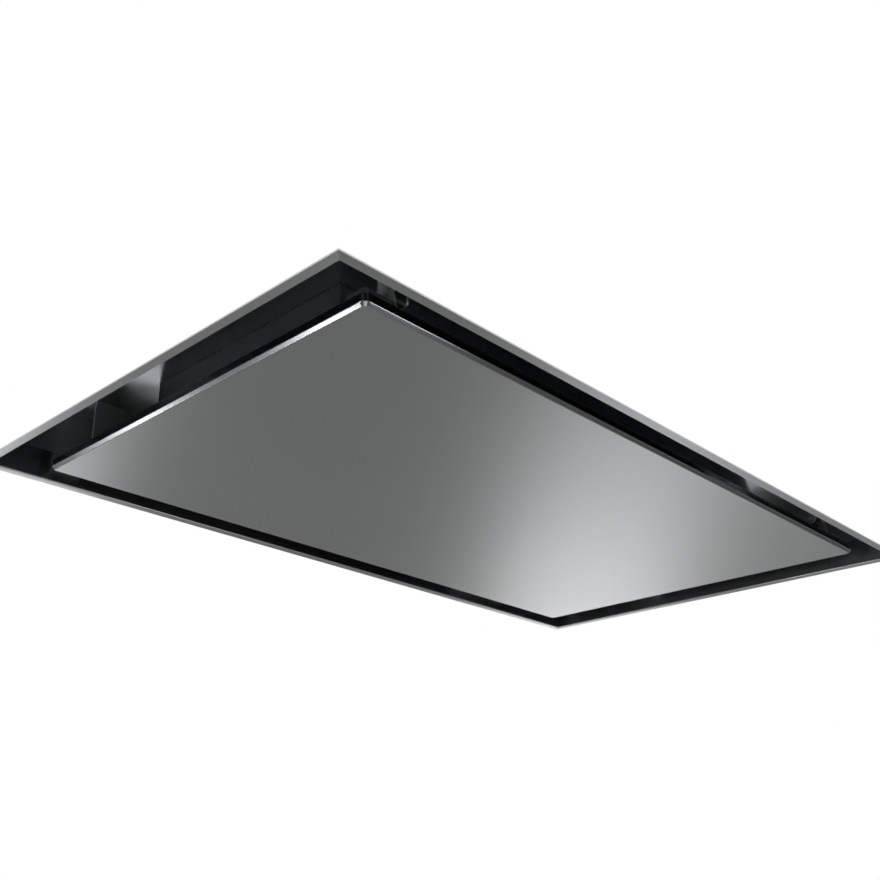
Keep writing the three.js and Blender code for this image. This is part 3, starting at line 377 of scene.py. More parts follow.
def brushed(name, dark, light, roughness, swing=0.08, depth=0.12, lines=(5, 900, 900), smear=0.75):
    """Brushed metal, whose lines run along the axis with the smallest count per metre."""
    made = material(name, light, roughness, metallic=1.0, Anisotropic=smear, Anisotropic_Rotation=0.25)
    tree = made.node_tree
    place = add(tree, "ShaderNodeTexCoord")
    mapping = add(tree, "ShaderNodeMapping", Scale=lines)
    shades = {"Dark": (*dark, 1), "Light": (*light, 1)}
    group = refine(made, BRUSHED, **shades, Roughness=roughness, Swing=swing, Depth=depth)
    group.name = "brushing"
    along = add(tree, "ShaderNodeCombineXYZ")
    along.name = "along"
    along.inputs[lines.index(min(lines))].default_value = 1
    wire(tree, [
        (place.outputs["Object"], mapping.inputs["Vector"]),
        (mapping.outputs["Vector"], group.inputs["Vector"]),
        (along.outputs[0], tree.nodes["Principled BSDF"].inputs["Tangent"]),
    ])
    return made


def above(tree, level):
    """A mask of what lies above a height."""
    place = add(tree, "ShaderNodeTexCoord")
    axes = add(tree, "ShaderNodeSeparateXYZ")
    tree.links.new(place.outputs["Object"], axes.inputs[0])
    return maths(tree, "GREATER_THAN", axes.outputs["Z"], level)


def polish_above(steel, level, gloss):
    """Gives what lies above a height a gloss of its own, because the brushing ends at the bend."""
    tree = steel.node_tree
    rough = add(tree, "ShaderNodeMix", B=gloss)
    wire(tree, [
        (above(tree, level), rough.inputs["Factor"]),
        (tree.nodes["brushing"].outputs["Roughness"], rough.inputs["A"]),
        (rough.outputs["Result"], tree.nodes["Principled BSDF"].inputs["Roughness"]),
    ])


def brush_to_mitre(steel, lead):
    """Turns the brushing to run along Y where X passes Y by more than the lead, as far as the mitres."""
    tree = steel.node_tree
    place = add(tree, "ShaderNodeTexCoord")
    folded = add(tree, "ShaderNodeVectorMath", "ABSOLUTE")
    axes = add(tree, "ShaderNodeSeparateXYZ")
    past = maths(tree, "SUBTRACT", axes.outputs["X"], axes.outputs["Y"])
    turned = add(tree, "ShaderNodeMix")
    turned.data_type = "VECTOR"
    turned.inputs["B"].default_value = (0, 1, 0)
    wire(tree, [
        (place.outputs["Object"], folded.inputs[0]),
        (folded.outputs[0], axes.inputs[0]),
        (maths(tree, "GREATER_THAN", past, lead), turned.inputs["Factor"]),
        (tree.nodes["along"].outputs[0], turned.inputs["A"]),
        (turned.outputs["Result"], tree.nodes["Principled BSDF"].inputs["Tangent"]),
    ])


STEEL_DARK = (0.50, 0.51, 0.52)
STEEL_LIGHT = (0.60, 0.61, 0.62)
trim_steel = brushed("trim_steel", STEEL_DARK, STEEL_LIGHT, 0.4)
polish_above(trim_steel, TRIM_BEND, gloss=0.16)
brush_to_mitre(trim_steel, lead=cad_high.x - cad_high.y)
dress(trim_steel, ["trim_frame"], edge=0.00025)


# ---------------------------------------------------------------- cover panel
# One pan pressed from 1.2 mm stainless sheet. Its face is brushed along its length, and the flat
# bevel and the rim round it are polished after brushing, with a darker painted shade above the bend.

COVER_BEVEL = 0.0028
COVER_CORNER = 0.006
COVER_SHEET = 0.0012
COVER_BEND = 0.0005
FACE_TOLERANCE = 0.000025
CORNER_STEPS = 8


def rounded_loop(bm, half, inset, z, radius):
    """Vertices round a rectangle with rounded corners, inset from its half sizes."""
    loop = []
    for quarter, (sx, sy) in enumerate(((1, 1), (-1, 1), (-1, -1), (1, -1))):
        middle = Vector((sx * (half.x - inset - radius), sy * (half.y - inset - radius), z))
        for step in range(CORNER_STEPS + 1):
            angle = (quarter + step / CORNER_STEPS) * math.pi / 2
            loop.append(bm.verts.new(middle + radius * Vector((math.cos(angle), math.sin(angle), 0))))
    return loop


def closed_shell(name, bm, loops):
    """Joins loops of equal length in a row, closes both ends and makes an object of it."""
    for inner, outer in zip(loops, loops[1:]):
        for i in range(len(inner)):
            bm.faces.new((inner[i - 1], inner[i], outer[i], outer[i - 1]))
    bm.faces.new(loops[0])
    bm.faces.new(loops[-1])
    bmesh.ops.recalc_face_normals(bm, faces=bm.faces)
    mesh = bpy.data.meshes.new(name)
    bm.to_mesh(mesh)
    bm.free()
    made = bpy.data.objects.new(name, mesh)
    scene.collection.objects.link(made)
    return made


def paint_shade_above(steel, level, colour):
    """Paints what lies above a height with a colour of its own, used as painted shade."""
    tree = steel.node_tree
    shade = mixed(tree, above(tree, level), tree.nodes["brushing"].outputs["Colour"], colour)
    tree.links.new(shade, tree.nodes["Principled BSDF"].inputs["Base Color"])


cover_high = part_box("cover_panel")[1]
rim = cover_high.z
slope = COVER_SHEET * (math.sqrt(2) - 1)
bm = bmesh.new()
cover = closed_shell("cover_pan", bm, [
    rounded_loop(bm, cover_high, inset, z, COVER_CORNER - min(inset, COVER_BEVEL))
    for inset, z in (
        (COVER_BEVEL, 0),
        (0, COVER_BEVEL),
        (0, rim),
        (COVER_SHEET, rim),
        (COVER_SHEET, COVER_BEVEL + slope),
        (COVER_BEVEL + slope, COVER_SHEET),
    )
])
soften(cover, COVER_BEND, segments=3)
cover_steel = brushed("cover_steel", STEEL_DARK, STEEL_LIGHT, 0.4)
polish_above(cover_steel, FACE_TOLERANCE, gloss=0.12)
# Painted shade: the bevel and the rim above the bend are coloured darker for their dim reflections.
paint_shade_above(cover_steel, COVER_BEND, colour=(0.34, 0.35, 0.36))
cover.data.materials.append(cover_steel)
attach(cover, "cover")
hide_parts("cover_panel")


# ---------------------------------------------------------------- suction tray
# Bright annealed stainless sheet of 1 mm, folded into four walls and a ceiling. Its soft mirror is
# a little wavy, which draws out what it reflects.

tray_steel = material("tray_steel", (0.66, 0.69, 0.70), 0.28, metallic=1.0)
tray_tree = tray_steel.node_tree
tray_place = add(tray_tree, "ShaderNodeTexCoord")
tray_stretch = add(tray_tree, "ShaderNodeMapping", Scale=(16, 16, 5))
tray_wave = add(tray_tree, "ShaderNodeTexNoise", Scale=1, Detail=1)
tray_bump = add(tray_tree, "ShaderNodeBump", Strength=1, Distance=0.0025)
wire(tray_tree, [
    (tray_place.outputs["Object"], tray_stretch.inputs["Vector"]),
    (tray_stretch.outputs["Vector"], tray_wave.inputs["Vector"]),
    (tray_wave.outputs["Fac"], tray_bump.inputs["Height"]),
    (tray_bump.outputs["Normal"], tray_tree.nodes["Principled BSDF"].inputs["Normal"]),
])
dress(tray_steel, ["suction_tray"])


# ---------------------------------------------------------------- casing, hanger plates and backing
# Zinc-coated sheet, bent and riveted. Its coating has crystals of a few millimetres that catch the
# light one by one.

CRYSTAL_SWING = 0.18


def zinc_spangle():
    """Crystals of zinc, each with a tone and a gloss of its own."""
    group, given, out = shader_group(
        "zinc_spangle",
        [
            ("Crystals per metre", "NodeSocketFloat", 130.0),
            ("Dark", "NodeSocketColor", (0.4, 0.4, 0.4, 1.0)),
            ("Light", "NodeSocketColor", (0.6, 0.6, 0.6, 1.0)),
            ("Roughness", "NodeSocketFloat", 0.45),
        ],
        [("Colour", "NodeSocketColor"), ("Roughness", "NodeSocketFloat")],
    )
    place = add(group, "ShaderNodeTexCoord")
    crystals = add(group, "ShaderNodeTexVoronoi")
    tone = add(group, "ShaderNodeSeparateColor")
    colour = mixed(group, tone.outputs["Red"], given.outputs["Dark"], given.outputs["Light"])
    rough = maths(group, "MULTIPLY_ADD", tone.outputs["Green"], CRYSTAL_SWING, given.outputs["Roughness"])
    wire(group, [
        (place.outputs["Object"], crystals.inputs["Vector"]),
        (given.outputs["Crystals per metre"], crystals.inputs["Scale"]),
        (crystals.outputs["Color"], tone.inputs["Color"]),
        (colour, out.inputs["Colour"]),
        (rough, out.inputs["Roughness"]),
    ])
    return group


SPANGLE = zinc_spangle()


def zinc(name, dark, light, roughness, crystals, metallic=1.0):
    """Zinc over steel, with its number of crystals per metre."""
    made = material(name, light, roughness, metallic)
    shades = {"Dark": (*dark, 1), "Light": (*light, 1)}
    refine(made, SPANGLE, **shades, Crystals_per_metre=crystals, Roughness=roughness)
    return made


zinc_sheet = zinc("zinc_sheet", (0.42, 0.44, 0.45), (0.56, 0.58, 0.59), 0.38, 120)
plated_steel = zinc("plated_steel", (0.54, 0.55, 0.56), (0.64, 0.65, 0.66), 0.34, 900, metallic=0.6)
CORNERS = ["front_left", "front_right", "rear_left", "rear_right"]
SIDES = ["left", "right"]
dress(zinc_sheet, [f"casing_{wall}" for wall in ("front", "rear", "left", "right", "roof")], edge=0.00025)
dress(zinc_sheet, ["cover_backing"])
dress(plated_steel, [f"hanger_plate_{corner}" for corner in CORNERS])

CROSS_ARM = 0.55
CROSS_HALF_WIDTH = 0.15
CROSS_TAPER = 0.85
CROSS_CORNER = math.atan2(CROSS_HALF_WIDTH, CROSS_ARM)
EIGHTH = math.pi / 4
HEAD_STEPS = [
    0,
    CROSS_CORNER,
    (CROSS_CORNER + EIGHTH) / 2,
    EIGHTH,
    (3 * EIGHTH - CROSS_CORNER) / 2,
    2 * EIGHTH - CROSS_CORNER,
]
HEAD_ANGLES = [quarter * math.pi / 2 + step for quarter in range(4) for step in HEAD_STEPS]
NEARLY_NOTHING = 1e-6


def cross_reach(angle):
    """Distance from the middle of a cross to its edge, for a head with a radius of 1."""
    across = max(abs(math.cos(angle)), NEARLY_NOTHING)
    up = max(abs(math.sin(angle)), NEARLY_NOTHING)
    level_arm = min(CROSS_ARM / across, CROSS_HALF_WIDTH / up)
    upright_arm = min(CROSS_ARM / up, CROSS_HALF_WIDTH / across)
    return max(level_arm, upright_arm)


def head(name, radius, height, profile, cross_depth=0):
    """A head that stands on the level plane, with rings of (radius, height) in shares of its own."""
    bm = bmesh.new()
    rings = [([share] * len(HEAD_ANGLES), level) for share, level in profile]
    if cross_depth:
        cross = [cross_reach(angle) for angle in HEAD_ANGLES]
        top = profile[-1][1]
        rings += [(cross, top), ([CROSS_TAPER * reach for reach in cross], top - cross_depth)]
    loops = []
    for reaches, level in rings:
        loops.append([
            bm.verts.new((radius * reach * math.cos(angle), radius * reach * math.sin(angle), height * level))
            for angle, reach in zip(HEAD_ANGLES, reaches)
        ])
    return closed_shell(name, bm, loops)


PAN_PROFILE = [(0.96, 0), (1, 0.3), (0.96, 0.62), (0.86, 0.88), (0.7, 1)]
RIVET_PROFILE = [(1, 0), (0.97, 0.35), (0.8, 0.72), (0.5, 0.94), (0.3, 1), (0.24, 0.97), (0.22, 0.55)]
pan_head = head("pan_head", radius=0.003, height=0.002, profile=PAN_PROFILE, cross_depth=0.55)
rivet_head = head("rivet_head", radius=0.0024, height=0.0009, profile=RIVET_PROFILE)


def tree_sockets(tree, inputs):
    """Gives a tree its geometry sockets and its named inputs, and tells each input's identifier."""
    tree.interface.new_socket("Geometry", in_out="INPUT", socket_type="NodeSocketGeometry")
    tree.interface.new_socket("Geometry", in_out="OUTPUT", socket_type="NodeSocketGeometry")
    return {
        label: tree.interface.new_socket(label, in_out="INPUT", socket_type=kind).identifier
        for label, kind in inputs
    }


def fastener_tree():
    """A head on each point, upright on the point's own direction and turned by chance up to an angle."""
    tree = bpy.data.node_groups.new("fasteners", "GeometryNodeTree")
    sockets = tree_sockets(tree, [
        ("Head", "NodeSocketObject"),
        ("Finish", "NodeSocketMaterial"),
        ("Turn", "NodeSocketFloat"),
        ("Seed", "NodeSocketInt"),
    ])
    given = add(tree, "NodeGroupInput")
    out = add(tree, "NodeGroupOutput")
    shape = add(tree, "GeometryNodeObjectInfo")
    away = add(tree, "GeometryNodeInputNamedAttribute", Name="away")
    away.data_type = "FLOAT_VECTOR"
    upright = add(tree, "FunctionNodeAlignRotationToVector")
    upright.axis = "Z"
    chance = add(tree, "FunctionNodeRandomValue")
    chance.data_type = "FLOAT"
    turn = add(tree, "FunctionNodeAxisAngleToRotation", Axis=(0, 0, 1))
    spin = add(tree, "FunctionNodeRotateRotation")
    spin.rotation_space = "LOCAL"
    placed = add(tree, "GeometryNodeInstanceOnPoints")
    real = add(tree, "GeometryNodeRealizeInstances")
    shaded = add(tree, "GeometryNodeGroup")
    shaded.node_tree = SHADING
    painted = add(tree, "GeometryNodeSetMaterial")
    wire(tree, [
        (given.outputs["Head"], shape.inputs["Object"]),
        (given.outputs["Turn"], chance.inputs[3]),
        (given.outputs["Seed"], chance.inputs["Seed"]),
        (chance.outputs[1], turn.inputs["Angle"]),
        (away.outputs["Attribute"], upright.inputs["Vector"]),
        (upright.outputs["Rotation"], spin.inputs["Rotation"]),
        (turn.outputs["Rotation"], spin.inputs["Rotate By"]),
        (given.outputs["Geometry"], placed.inputs["Points"]),
        (shape.outputs["Geometry"], placed.inputs["Instance"]),
        (spin.outputs["Rotation"], placed.inputs["Rotation"]),
        (placed.outputs["Instances"], real.inputs["Geometry"]),
        (real.outputs["Geometry"], shaded.inputs[0]),
        (shaded.outputs[0], painted.inputs["Geometry"]),
        (given.outputs["Finish"], painted.inputs["Material"]),
        (painted.outputs["Geometry"], out.inputs[0]),
    ])
    return tree, sockets


FASTENERS, FASTENER_SOCKETS = fastener_tree()


def settle(piece, body):
    """Turns what a piece's tree makes into its plain mesh, which rides on a body."""
    bpy.context.view_layer.update()
    shaped = piece.evaluated_get(bpy.context.evaluated_depsgraph_get())
    mesh = bpy.data.meshes.new_from_object(shaped)
    piece.modifiers.clear()
    piece.data = mesh
    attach(piece, body)


def grow(name, tree, sockets, values, mesh=None):
    """A piece that a tree makes from its values, round the points of a mesh if it has one."""
    piece = bpy.data.objects.new(name, mesh or bpy.data.meshes.new(name))
    scene.collection.objects.link(piece)
    maker = piece.modifiers.new("maker", "NODES")
    maker.node_group = tree
    for label, value in values.items():
        maker[sockets[label]] = value
    return piece


def fasten(name, body, shape, places, finish=plated_steel, turn=2 * math.pi):
    """One piece of like heads on a body, at pairs of a place and a direction."""
    points = bpy.data.meshes.new(name)
    points.from_pydata([place for place, _ in places], [], [])
    away = points.attributes.new("away", "FLOAT_VECTOR", "POINT")
    for item, (_, direction) in zip(away.data, places):
        item.vector = direction
    values = {"Head": shape, "Finish": finish, "Turn": turn, "Seed": len(places)}
    settle(grow(name, FASTENERS, FASTENER_SOCKETS, values, points), body)


def aimed(places, direction):
    """Pairs each place with the same direction."""
    return [(place, direction) for place in places]


def corners_of(box, inset_x, inset_y):
    """The four corners of a box in plan, inset, at its lowest level."""
    box_low, box_high = box
    return [
        (x, y, box_low.z)
        for x in (box_low.x + inset_x, box_high.x - inset_x)
        for y in (box_low.y + inset_y, box_high.y - inset_y)
    ]


UP = (0, 0, 1)
DOWN = (0, 0, -1)
WALL_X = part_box("casing_left")[0].x
WALL_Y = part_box("casing_front")[1].y
LIP_LEVEL = 0.2945
TRAY_LEVEL = 0.064
FOLD_X = 0.4365
LONG_ROW = [x / 1000 for x in range(-405, 406, 90)]
SHORT_ROW = [y / 1000 for y in range(-180, 181, 90)]
UPRIGHT_ROW = [z / 1000 for z in range(110, 286, 35)]
wall_rivets = []
for way in (-1, 1):
    for level in (LIP_LEVEL, TRAY_LEVEL):
        wall_rivets += aimed([(x, way * WALL_Y, level) for x in LONG_ROW], (0, way, 0))
    for fold in (-FOLD_X, FOLD_X):
        wall_rivets += aimed([(fold, way * WALL_Y, z) for z in UPRIGHT_ROW], (0, way, 0))
    wall_rivets += aimed([(way * WALL_X, y, TRAY_LEVEL) for y in SHORT_ROW], (-way, 0, 0))
fasten("casing_rivets", "casing", rivet_head, wall_rivets)

PLATE_RIVET_X = 0.019
PLATE_RIVET_Y = 0.015
plate_rivets = []
for corner in CORNERS:
    plate_low, plate_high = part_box(f"hanger_plate_{corner}")
    half = (plate_high - plate_low) / 2
    corner_places = corners_of((plate_low, plate_high), half.x - PLATE_RIVET_X, half.y - PLATE_RIVET_Y)
    plate_rivets += aimed(corner_places, DOWN)
fasten("plate_rivets", "casing", rivet_head, plate_rivets)


# ---------------------------------------------------------------- grease filters
# Two cassettes: a bent aluminium channel round a pleated pack of expanded aluminium mesh, with a
# moulded finger cup and its sprung bolt. They hang in a folded steel carrier, coloured near black as painted
# shade.

aluminium = brushed("aluminium", (0.66, 0.67, 0.68), (0.76, 0.77, 0.78), 0.36, lines=(700, 6, 700))
# Painted shade: the carrier's steel is coloured near black to stand in for the shade inside the suction
# channel.
carrier_painted_shade = brushed("carrier_painted_shade", (0.036, 0.04, 0.048), (0.05, 0.055, 0.065), 0.36)
dress(carrier_painted_shade, ["filter_carrier", "filter_divider"])
dress(aluminium, [f"filter_frame_{side}" for side in SIDES])
dress(aluminium, [f"filter_mesh_{side}" for side in SIDES], edge=0)

grey_moulding = moulded("grey_moulding", (0.085, 0.09, 0.095), 0.5, grain=1100)
black_moulding = moulded("black_moulding", (0.022, 0.022, 0.024), 0.48)
dress(grey_moulding, [f"filter_handle_{side}" for side in SIDES])
dress(black_moulding, [f"filter_bolt_{side}" for side in SIDES])

STRAND_WIDTH = 0.0009
STRAND_THICKNESS = 0.0004
DIAMOND_LENGTH = 0.0085
DIAMOND_WIDTH = 0.0056
FACE_SHEET_RISE = 0.0005
RIVET_INSET = 0.0085


def strand_cross():
    """Where four strands of expanded metal meet: the unit that repeats over the sheet."""
    run = Vector((DIAMOND_LENGTH / 2, DIAMOND_WIDTH / 2, 0))
    half = STRAND_WIDTH / 2
    lean = half / run.normalized().x
    notch = half / run.normalized().y
    corner = [
        Vector((run.x, run.y - lean, 0)),
        Vector((run.x, run.y, 0)),
        Vector((run.x - notch, run.y, 0)),
        Vector((0, lean, 0)),
    ]
    mirrored = [Vector((-p.x, p.y, 0)) for p in reversed(corner[:3])]
    upper = [*corner, *mirrored]
    lower = [-p for p in upper]
    outline = [*upper, Vector((-notch, 0, 0)), *lower, Vector((notch, 0, 0))]
    bm = bmesh.new()
    loops = [[bm.verts.new((p.x, p.y, z)) for p in outline] for z in (0, STRAND_THICKNESS)]
    return closed_shell("strand_cross", bm, loops)


def expanded_tree():
    """Sets the unit at each point of a level grid, and leaves out those in a rectangle."""
    tree = bpy.data.node_groups.new("expanded_metal", "GeometryNodeTree")
    sockets = tree_sockets(tree, [
        ("Unit", "NodeSocketObject"),
        ("Finish", "NodeSocketMaterial"),
        ("Length", "NodeSocketFloat"),
        ("Width", "NodeSocketFloat"),
        ("Across", "NodeSocketInt"),
        ("Up", "NodeSocketInt"),
        ("Place", "NodeSocketVector"),
        ("Handle", "NodeSocketVector"),
        ("Handle reach", "NodeSocketFloat"),
    ])
    given = add(tree, "NodeGroupInput")
    out = add(tree, "NodeGroupOutput")
    grid = add(tree, "GeometryNodeMeshGrid")
    moved = add(tree, "GeometryNodeTransform")
    position = add(tree, "GeometryNodeInputPosition")
    offset = add(tree, "ShaderNodeVectorMath", "SUBTRACT")
    folded = add(tree, "ShaderNodeVectorMath", "ABSOLUTE")
    axes = add(tree, "ShaderNodeSeparateXYZ")
    signed = add(tree, "ShaderNodeSeparateXYZ")
    beside = add(tree, "FunctionNodeCompare", "LESS_THAN")
    behind = add(tree, "FunctionNodeCompare", "GREATER_THAN", B=0)
    covered = add(tree, "FunctionNodeBooleanMath", "AND")
    kept = add(tree, "GeometryNodeDeleteGeometry")
    shape = add(tree, "GeometryNodeObjectInfo")
    placed = add(tree, "GeometryNodeInstanceOnPoints")
    real = add(tree, "GeometryNodeRealizeInstances")
    painted = add(tree, "GeometryNodeSetMaterial")
    wire(tree, [
        (given.outputs["Length"], grid.inputs["Size X"]),
        (given.outputs["Width"], grid.inputs["Size Y"]),
        (given.outputs["Across"], grid.inputs["Vertices X"]),
        (given.outputs["Up"], grid.inputs["Vertices Y"]),
        (grid.outputs["Mesh"], moved.inputs["Geometry"]),
        (given.outputs["Place"], moved.inputs["Translation"]),
        (position.outputs[0], offset.inputs[0]),
        (given.outputs["Handle"], offset.inputs[1]),
        (offset.outputs[0], folded.inputs[0]),
        (folded.outputs[0], axes.inputs[0]),
        (offset.outputs[0], signed.inputs[0]),
        (axes.outputs["X"], beside.inputs["A"]),
        (given.outputs["Handle reach"], beside.inputs["B"]),
        (signed.outputs["Y"], behind.inputs["A"]),
        (beside.outputs[0], covered.inputs[0]),
        (behind.outputs[0], covered.inputs[1]),
        (moved.outputs["Geometry"], kept.inputs["Geometry"]),
        (covered.outputs[0], kept.inputs["Selection"]),
        (kept.outputs["Geometry"], placed.inputs["Points"]),
        (given.outputs["Unit"], shape.inputs["Object"]),
        (shape.outputs["Geometry"], placed.inputs["Instance"]),
        (placed.outputs["Instances"], real.inputs["Geometry"]),
        (real.outputs["Geometry"], painted.inputs["Geometry"]),
        (given.outputs["Finish"], painted.inputs["Material"]),
        (painted.outputs["Geometry"], out.inputs[0]),
    ])
    return tree, sockets


EXPANDED, EXPANDED_SOCKETS = expanded_tree()
unit = strand_cross()
frame_rivets = []
for side in SIDES:
    mesh_low, mesh_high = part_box(f"filter_mesh_{side}")
    frame_low, frame_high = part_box(f"filter_frame_{side}")
    handle_low, handle_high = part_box(f"filter_handle_{side}")
    across = int((mesh_high.x - mesh_low.x) / DIAMOND_LENGTH)
    up = int((mesh_high.y - mesh_low.y) / DIAMOND_WIDTH)
    middle = (mesh_low + mesh_high) / 2
    values = {
        "Unit": unit,
        "Finish": aluminium,
        "Length": (across - 1) * DIAMOND_LENGTH,
        "Width": (up - 1) * DIAMOND_WIDTH,
        "Across": across,
        "Up": up,
        "Place": (middle.x, middle.y, frame_low.z + FACE_SHEET_RISE),
        "Handle": ((handle_low.x + handle_high.x) / 2, handle_low.y - DIAMOND_WIDTH / 2, 0),
        "Handle reach": (handle_high.x - handle_low.x + DIAMOND_LENGTH) / 2,
    }
    settle(grow(f"filter_face_{side}", EXPANDED, EXPANDED_SOCKETS, values), "casing")
    frame_rivets += aimed(corners_of((frame_low, frame_high), RIVET_INSET, RIVET_INSET), DOWN)
bpy.data.objects.remove(unit)
fasten("filter_rivets", "casing", rivet_head, frame_rivets, aluminium)


# ---------------------------------------------------------------- hinges and catches
# Zinc-plated steel hangers, arms and pins, with black nylon bearing blocks, grey caps over the
# arms' screws, and magnets in black cases.

dress(plated_steel, [f"hinge_{piece}_{side}" for piece in ("hanger", "arm", "pin") for side in SIDES])
dress(plated_steel, [f"catch_{piece}_{side}" for piece in ("hanger", "strike") for side in SIDES])
dress(black_moulding, [f"hinge_block_{side}" for side in SIDES])
dress(black_moulding, [f"catch_magnet_{side}" for side in SIDES])
dress(grey_moulding, [f"hinge_shoe_{side}" for side in SIDES])

FOOT_SHEET = 0.002
FOOT_HALF_PITCH = 0.009
HINGE_SCREW_INSET = 0.0034
CATCH_SCREW_INSET = 0.008
hanger_screws = []
for side in SIDES:
    hinge_low, hinge_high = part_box(f"hinge_hanger_{side}")
    catch_low, catch_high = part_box(f"catch_hanger_{side}")
    foot_level = hinge_high.z - FOOT_SHEET
    for shift in (-FOOT_HALF_PITCH, FOOT_HALF_PITCH):
        hinge_x = (hinge_low.x + hinge_high.x) / 2 + shift
        catch_x = (catch_low.x + catch_high.x) / 2 + shift
        hanger_screws.append((hinge_x, hinge_high.y - HINGE_SCREW_INSET, foot_level))
        hanger_screws.append((catch_x, catch_high.y - CATCH_SCREW_INSET, foot_level))
fasten("hanger_screws", "casing", pan_head, aimed(hanger_screws, DOWN))


# ---------------------------------------------------------------- fan, motor and outlet
# Black moulded scroll, inlet and wheel round a die-cast motor, on rubber mounts, with a grey
# moulded collar for the duct and two thin flaps in it.

cast_aluminium = brushed("cast_aluminium", STEEL_DARK, STEEL_LIGHT, 0.5, lines=(400, 400, 400), smear=0)
rubber = moulded("rubber", (0.016, 0.016, 0.016), 0.8, grain=600, depth=0.2)
dress(black_moulding, ["scroll_body", "scroll_lid", "inlet_ring", "fan_wheel", "wheel_disc", "lead_outlet"])
dress(cast_aluminium, ["motor"])
dress(plated_steel, ["motor_shaft", "wheel_nut"])
dress(rubber, [f"rubber_mount_{corner}" for corner in CORNERS])
dress(grey_moulding, ["outlet_collar"])
dress(black_moulding, [f"flap_{side}" for side in SIDES])

FAN_AXIS = Vector((0.020, 0.040, 0))
LID_SCREWS = 10
LID_SCREW_INSET = 0.005
LID_SCREWS_FROM_Y = -0.040
MOTOR_SCREWS = 3
MOTOR_SCREW_RADIUS = 0.050
INLET_SCREWS = 6
INLET_SCREW_RADIUS = 0.113
COLLAR_SCREWS = 4
COLLAR_SCREW_RADIUS = 0.0805
COLLAR_FLANGE = 0.0028


def ring(middle, radius, count, start, second=(0, 1, 0)):
    """Places round a circle, in the plane of X and a second axis."""
    angles = [start + 2 * math.pi * i / count for i in range(count)]
    return [
        middle + radius * (math.cos(angle) * Vector((1, 0, 0)) + math.sin(angle) * Vector(second))
        for angle in angles
    ]


lid_low, lid_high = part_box("scroll_lid")
lid_middle = FAN_AXIS + Vector((0, 0, (lid_low.z + lid_high.z) / 2))
lid_places = []
for far in ring(lid_middle, radius=1, count=LID_SCREWS, start=0.1):
    inward = (lid_middle - far).normalized()
    found, edge, _, _ = nodes["scroll_lid"].ray_cast(far, inward)
    place = edge + LID_SCREW_INSET * inward
    if found and place.y > LID_SCREWS_FROM_Y:
        lid_places.append((place.x, place.y, lid_high.z))
motor_middle = FAN_AXIS + Vector((0, 0, lid_high.z))
inlet_middle = FAN_AXIS + Vector((0, 0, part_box("inlet_ring")[0].z))
fan_screws = aimed(lid_places, UP)
fan_screws += aimed(ring(motor_middle, MOTOR_SCREW_RADIUS, MOTOR_SCREWS, start=0.5), UP)
fan_screws += aimed(ring(inlet_middle, INLET_SCREW_RADIUS, INLET_SCREWS, start=0.3), DOWN)
fasten("fan_screws", "casing", pan_head, fan_screws)

wall_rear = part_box("casing_rear")[0].y
collar_low, collar_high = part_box("outlet_collar")
collar_face = (collar_low + collar_high) / 2
collar_face.y = wall_rear - COLLAR_FLANGE
collar_places = ring(collar_face, COLLAR_SCREW_RADIUS, COLLAR_SCREWS, start=math.pi / 4, second=UP)
fasten("collar_screws", "casing", pan_head, aimed(collar_places, (0, -1, 0)))


# ---------------------------------------------------------------- control box
# Grey moulded box with a screwed lid, a green board inside, and a black gland with grip ribs in the
# rear wall.

board_green = moulded("board_green", (0.02, 0.11, 0.05), 0.35, grain=300, depth=0.1)
dress(grey_moulding, ["control_box", "control_box_lid"])
dress(black_moulding, ["cable_gland"])
dress(board_green, ["circuit_board"])

LID_CORNER_INSET = 0.007
lid_corners = corners_of(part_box("control_box_lid"), LID_CORNER_INSET, LID_CORNER_INSET)
fasten("box_screws", "casing", pan_head, aimed(lid_corners, DOWN))

GLAND_RIBS = 24
GLAND_CHAMFER = 0.003
RIB_BASE = 0.0009
RIB_TOP = 0.0005
RIB_HEIGHT = 0.0006
RIB_ROOT = 0.0002
RIB_GAP = 0.0008


def rectangle(bm, x, y, z):
    """Vertices of a level rectangle about the middle, from its half sizes."""
    return [bm.verts.new((sx * x, sy * y, z)) for sx, sy in ((-1, -1), (1, -1), (1, 1), (-1, 1))]


gland_low, gland_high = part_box("cable_gland")
rib_half = (wall_rear - gland_low.y - GLAND_CHAMFER) / 2 - RIB_GAP
gland_middle = (gland_low + gland_high) / 2
gland_middle.y = gland_low.y + GLAND_CHAMFER + rib_half
bm = bmesh.new()
grip_rib = closed_shell("grip_rib", bm, [
    rectangle(bm, x, rib_half - lift, lift)
    for x, lift in ((RIB_BASE, -RIB_ROOT), (RIB_BASE, 0), (RIB_TOP, RIB_HEIGHT))
])
rib_places = ring(gland_middle, (gland_high.x - gland_low.x) / 2, GLAND_RIBS, start=0, second=UP)
gland_ribs = [(place, (place - gland_middle).normalized()) for place in rib_places]
fasten("gland_ribs", "casing", grip_rib, gland_ribs, black_moulding, turn=0)
for spare in (pan_head, rivet_head, grip_rib):
    bpy.data.objects.remove(spare)


# ---------------------------------------------------------------- ceiling, floor and light
# The hood hangs in a plasterboard ceiling with a cut-out for its casing, over a pale floor. The
# ceiling's underside and the world show plain white, as the photograph does.

BOARD_FLOOR = 0.0018
BOARD_THICKNESS = 0.0125
BOARD_REACH = 0.45
CASING_PLAY = 0.0008
FLOOR_LEVEL = -2.4
FLOOR_HALF = 14
WORLD_LEVEL = 0.16


def white_to_camera(tree, base, white, out):
    """Shows the white to camera, glossy and transmission rays, and the base to all others."""
    rays = add(tree, "ShaderNodeLightPath").outputs
    camera_or_gloss = maths(tree, "MAXIMUM", rays["Is Camera Ray"], rays["Is Glossy Ray"])
    mix = add(tree, "ShaderNodeMixShader")
    wire(tree, [
        (maths(tree, "MAXIMUM", camera_or_gloss, rays["Is Transmission Ray"]), mix.inputs["Fac"]),
        (base.outputs[0], mix.inputs[1]),
        (white.outputs[0], mix.inputs[2]),
        (mix.outputs[0], out.inputs["Surface"]),
    ])


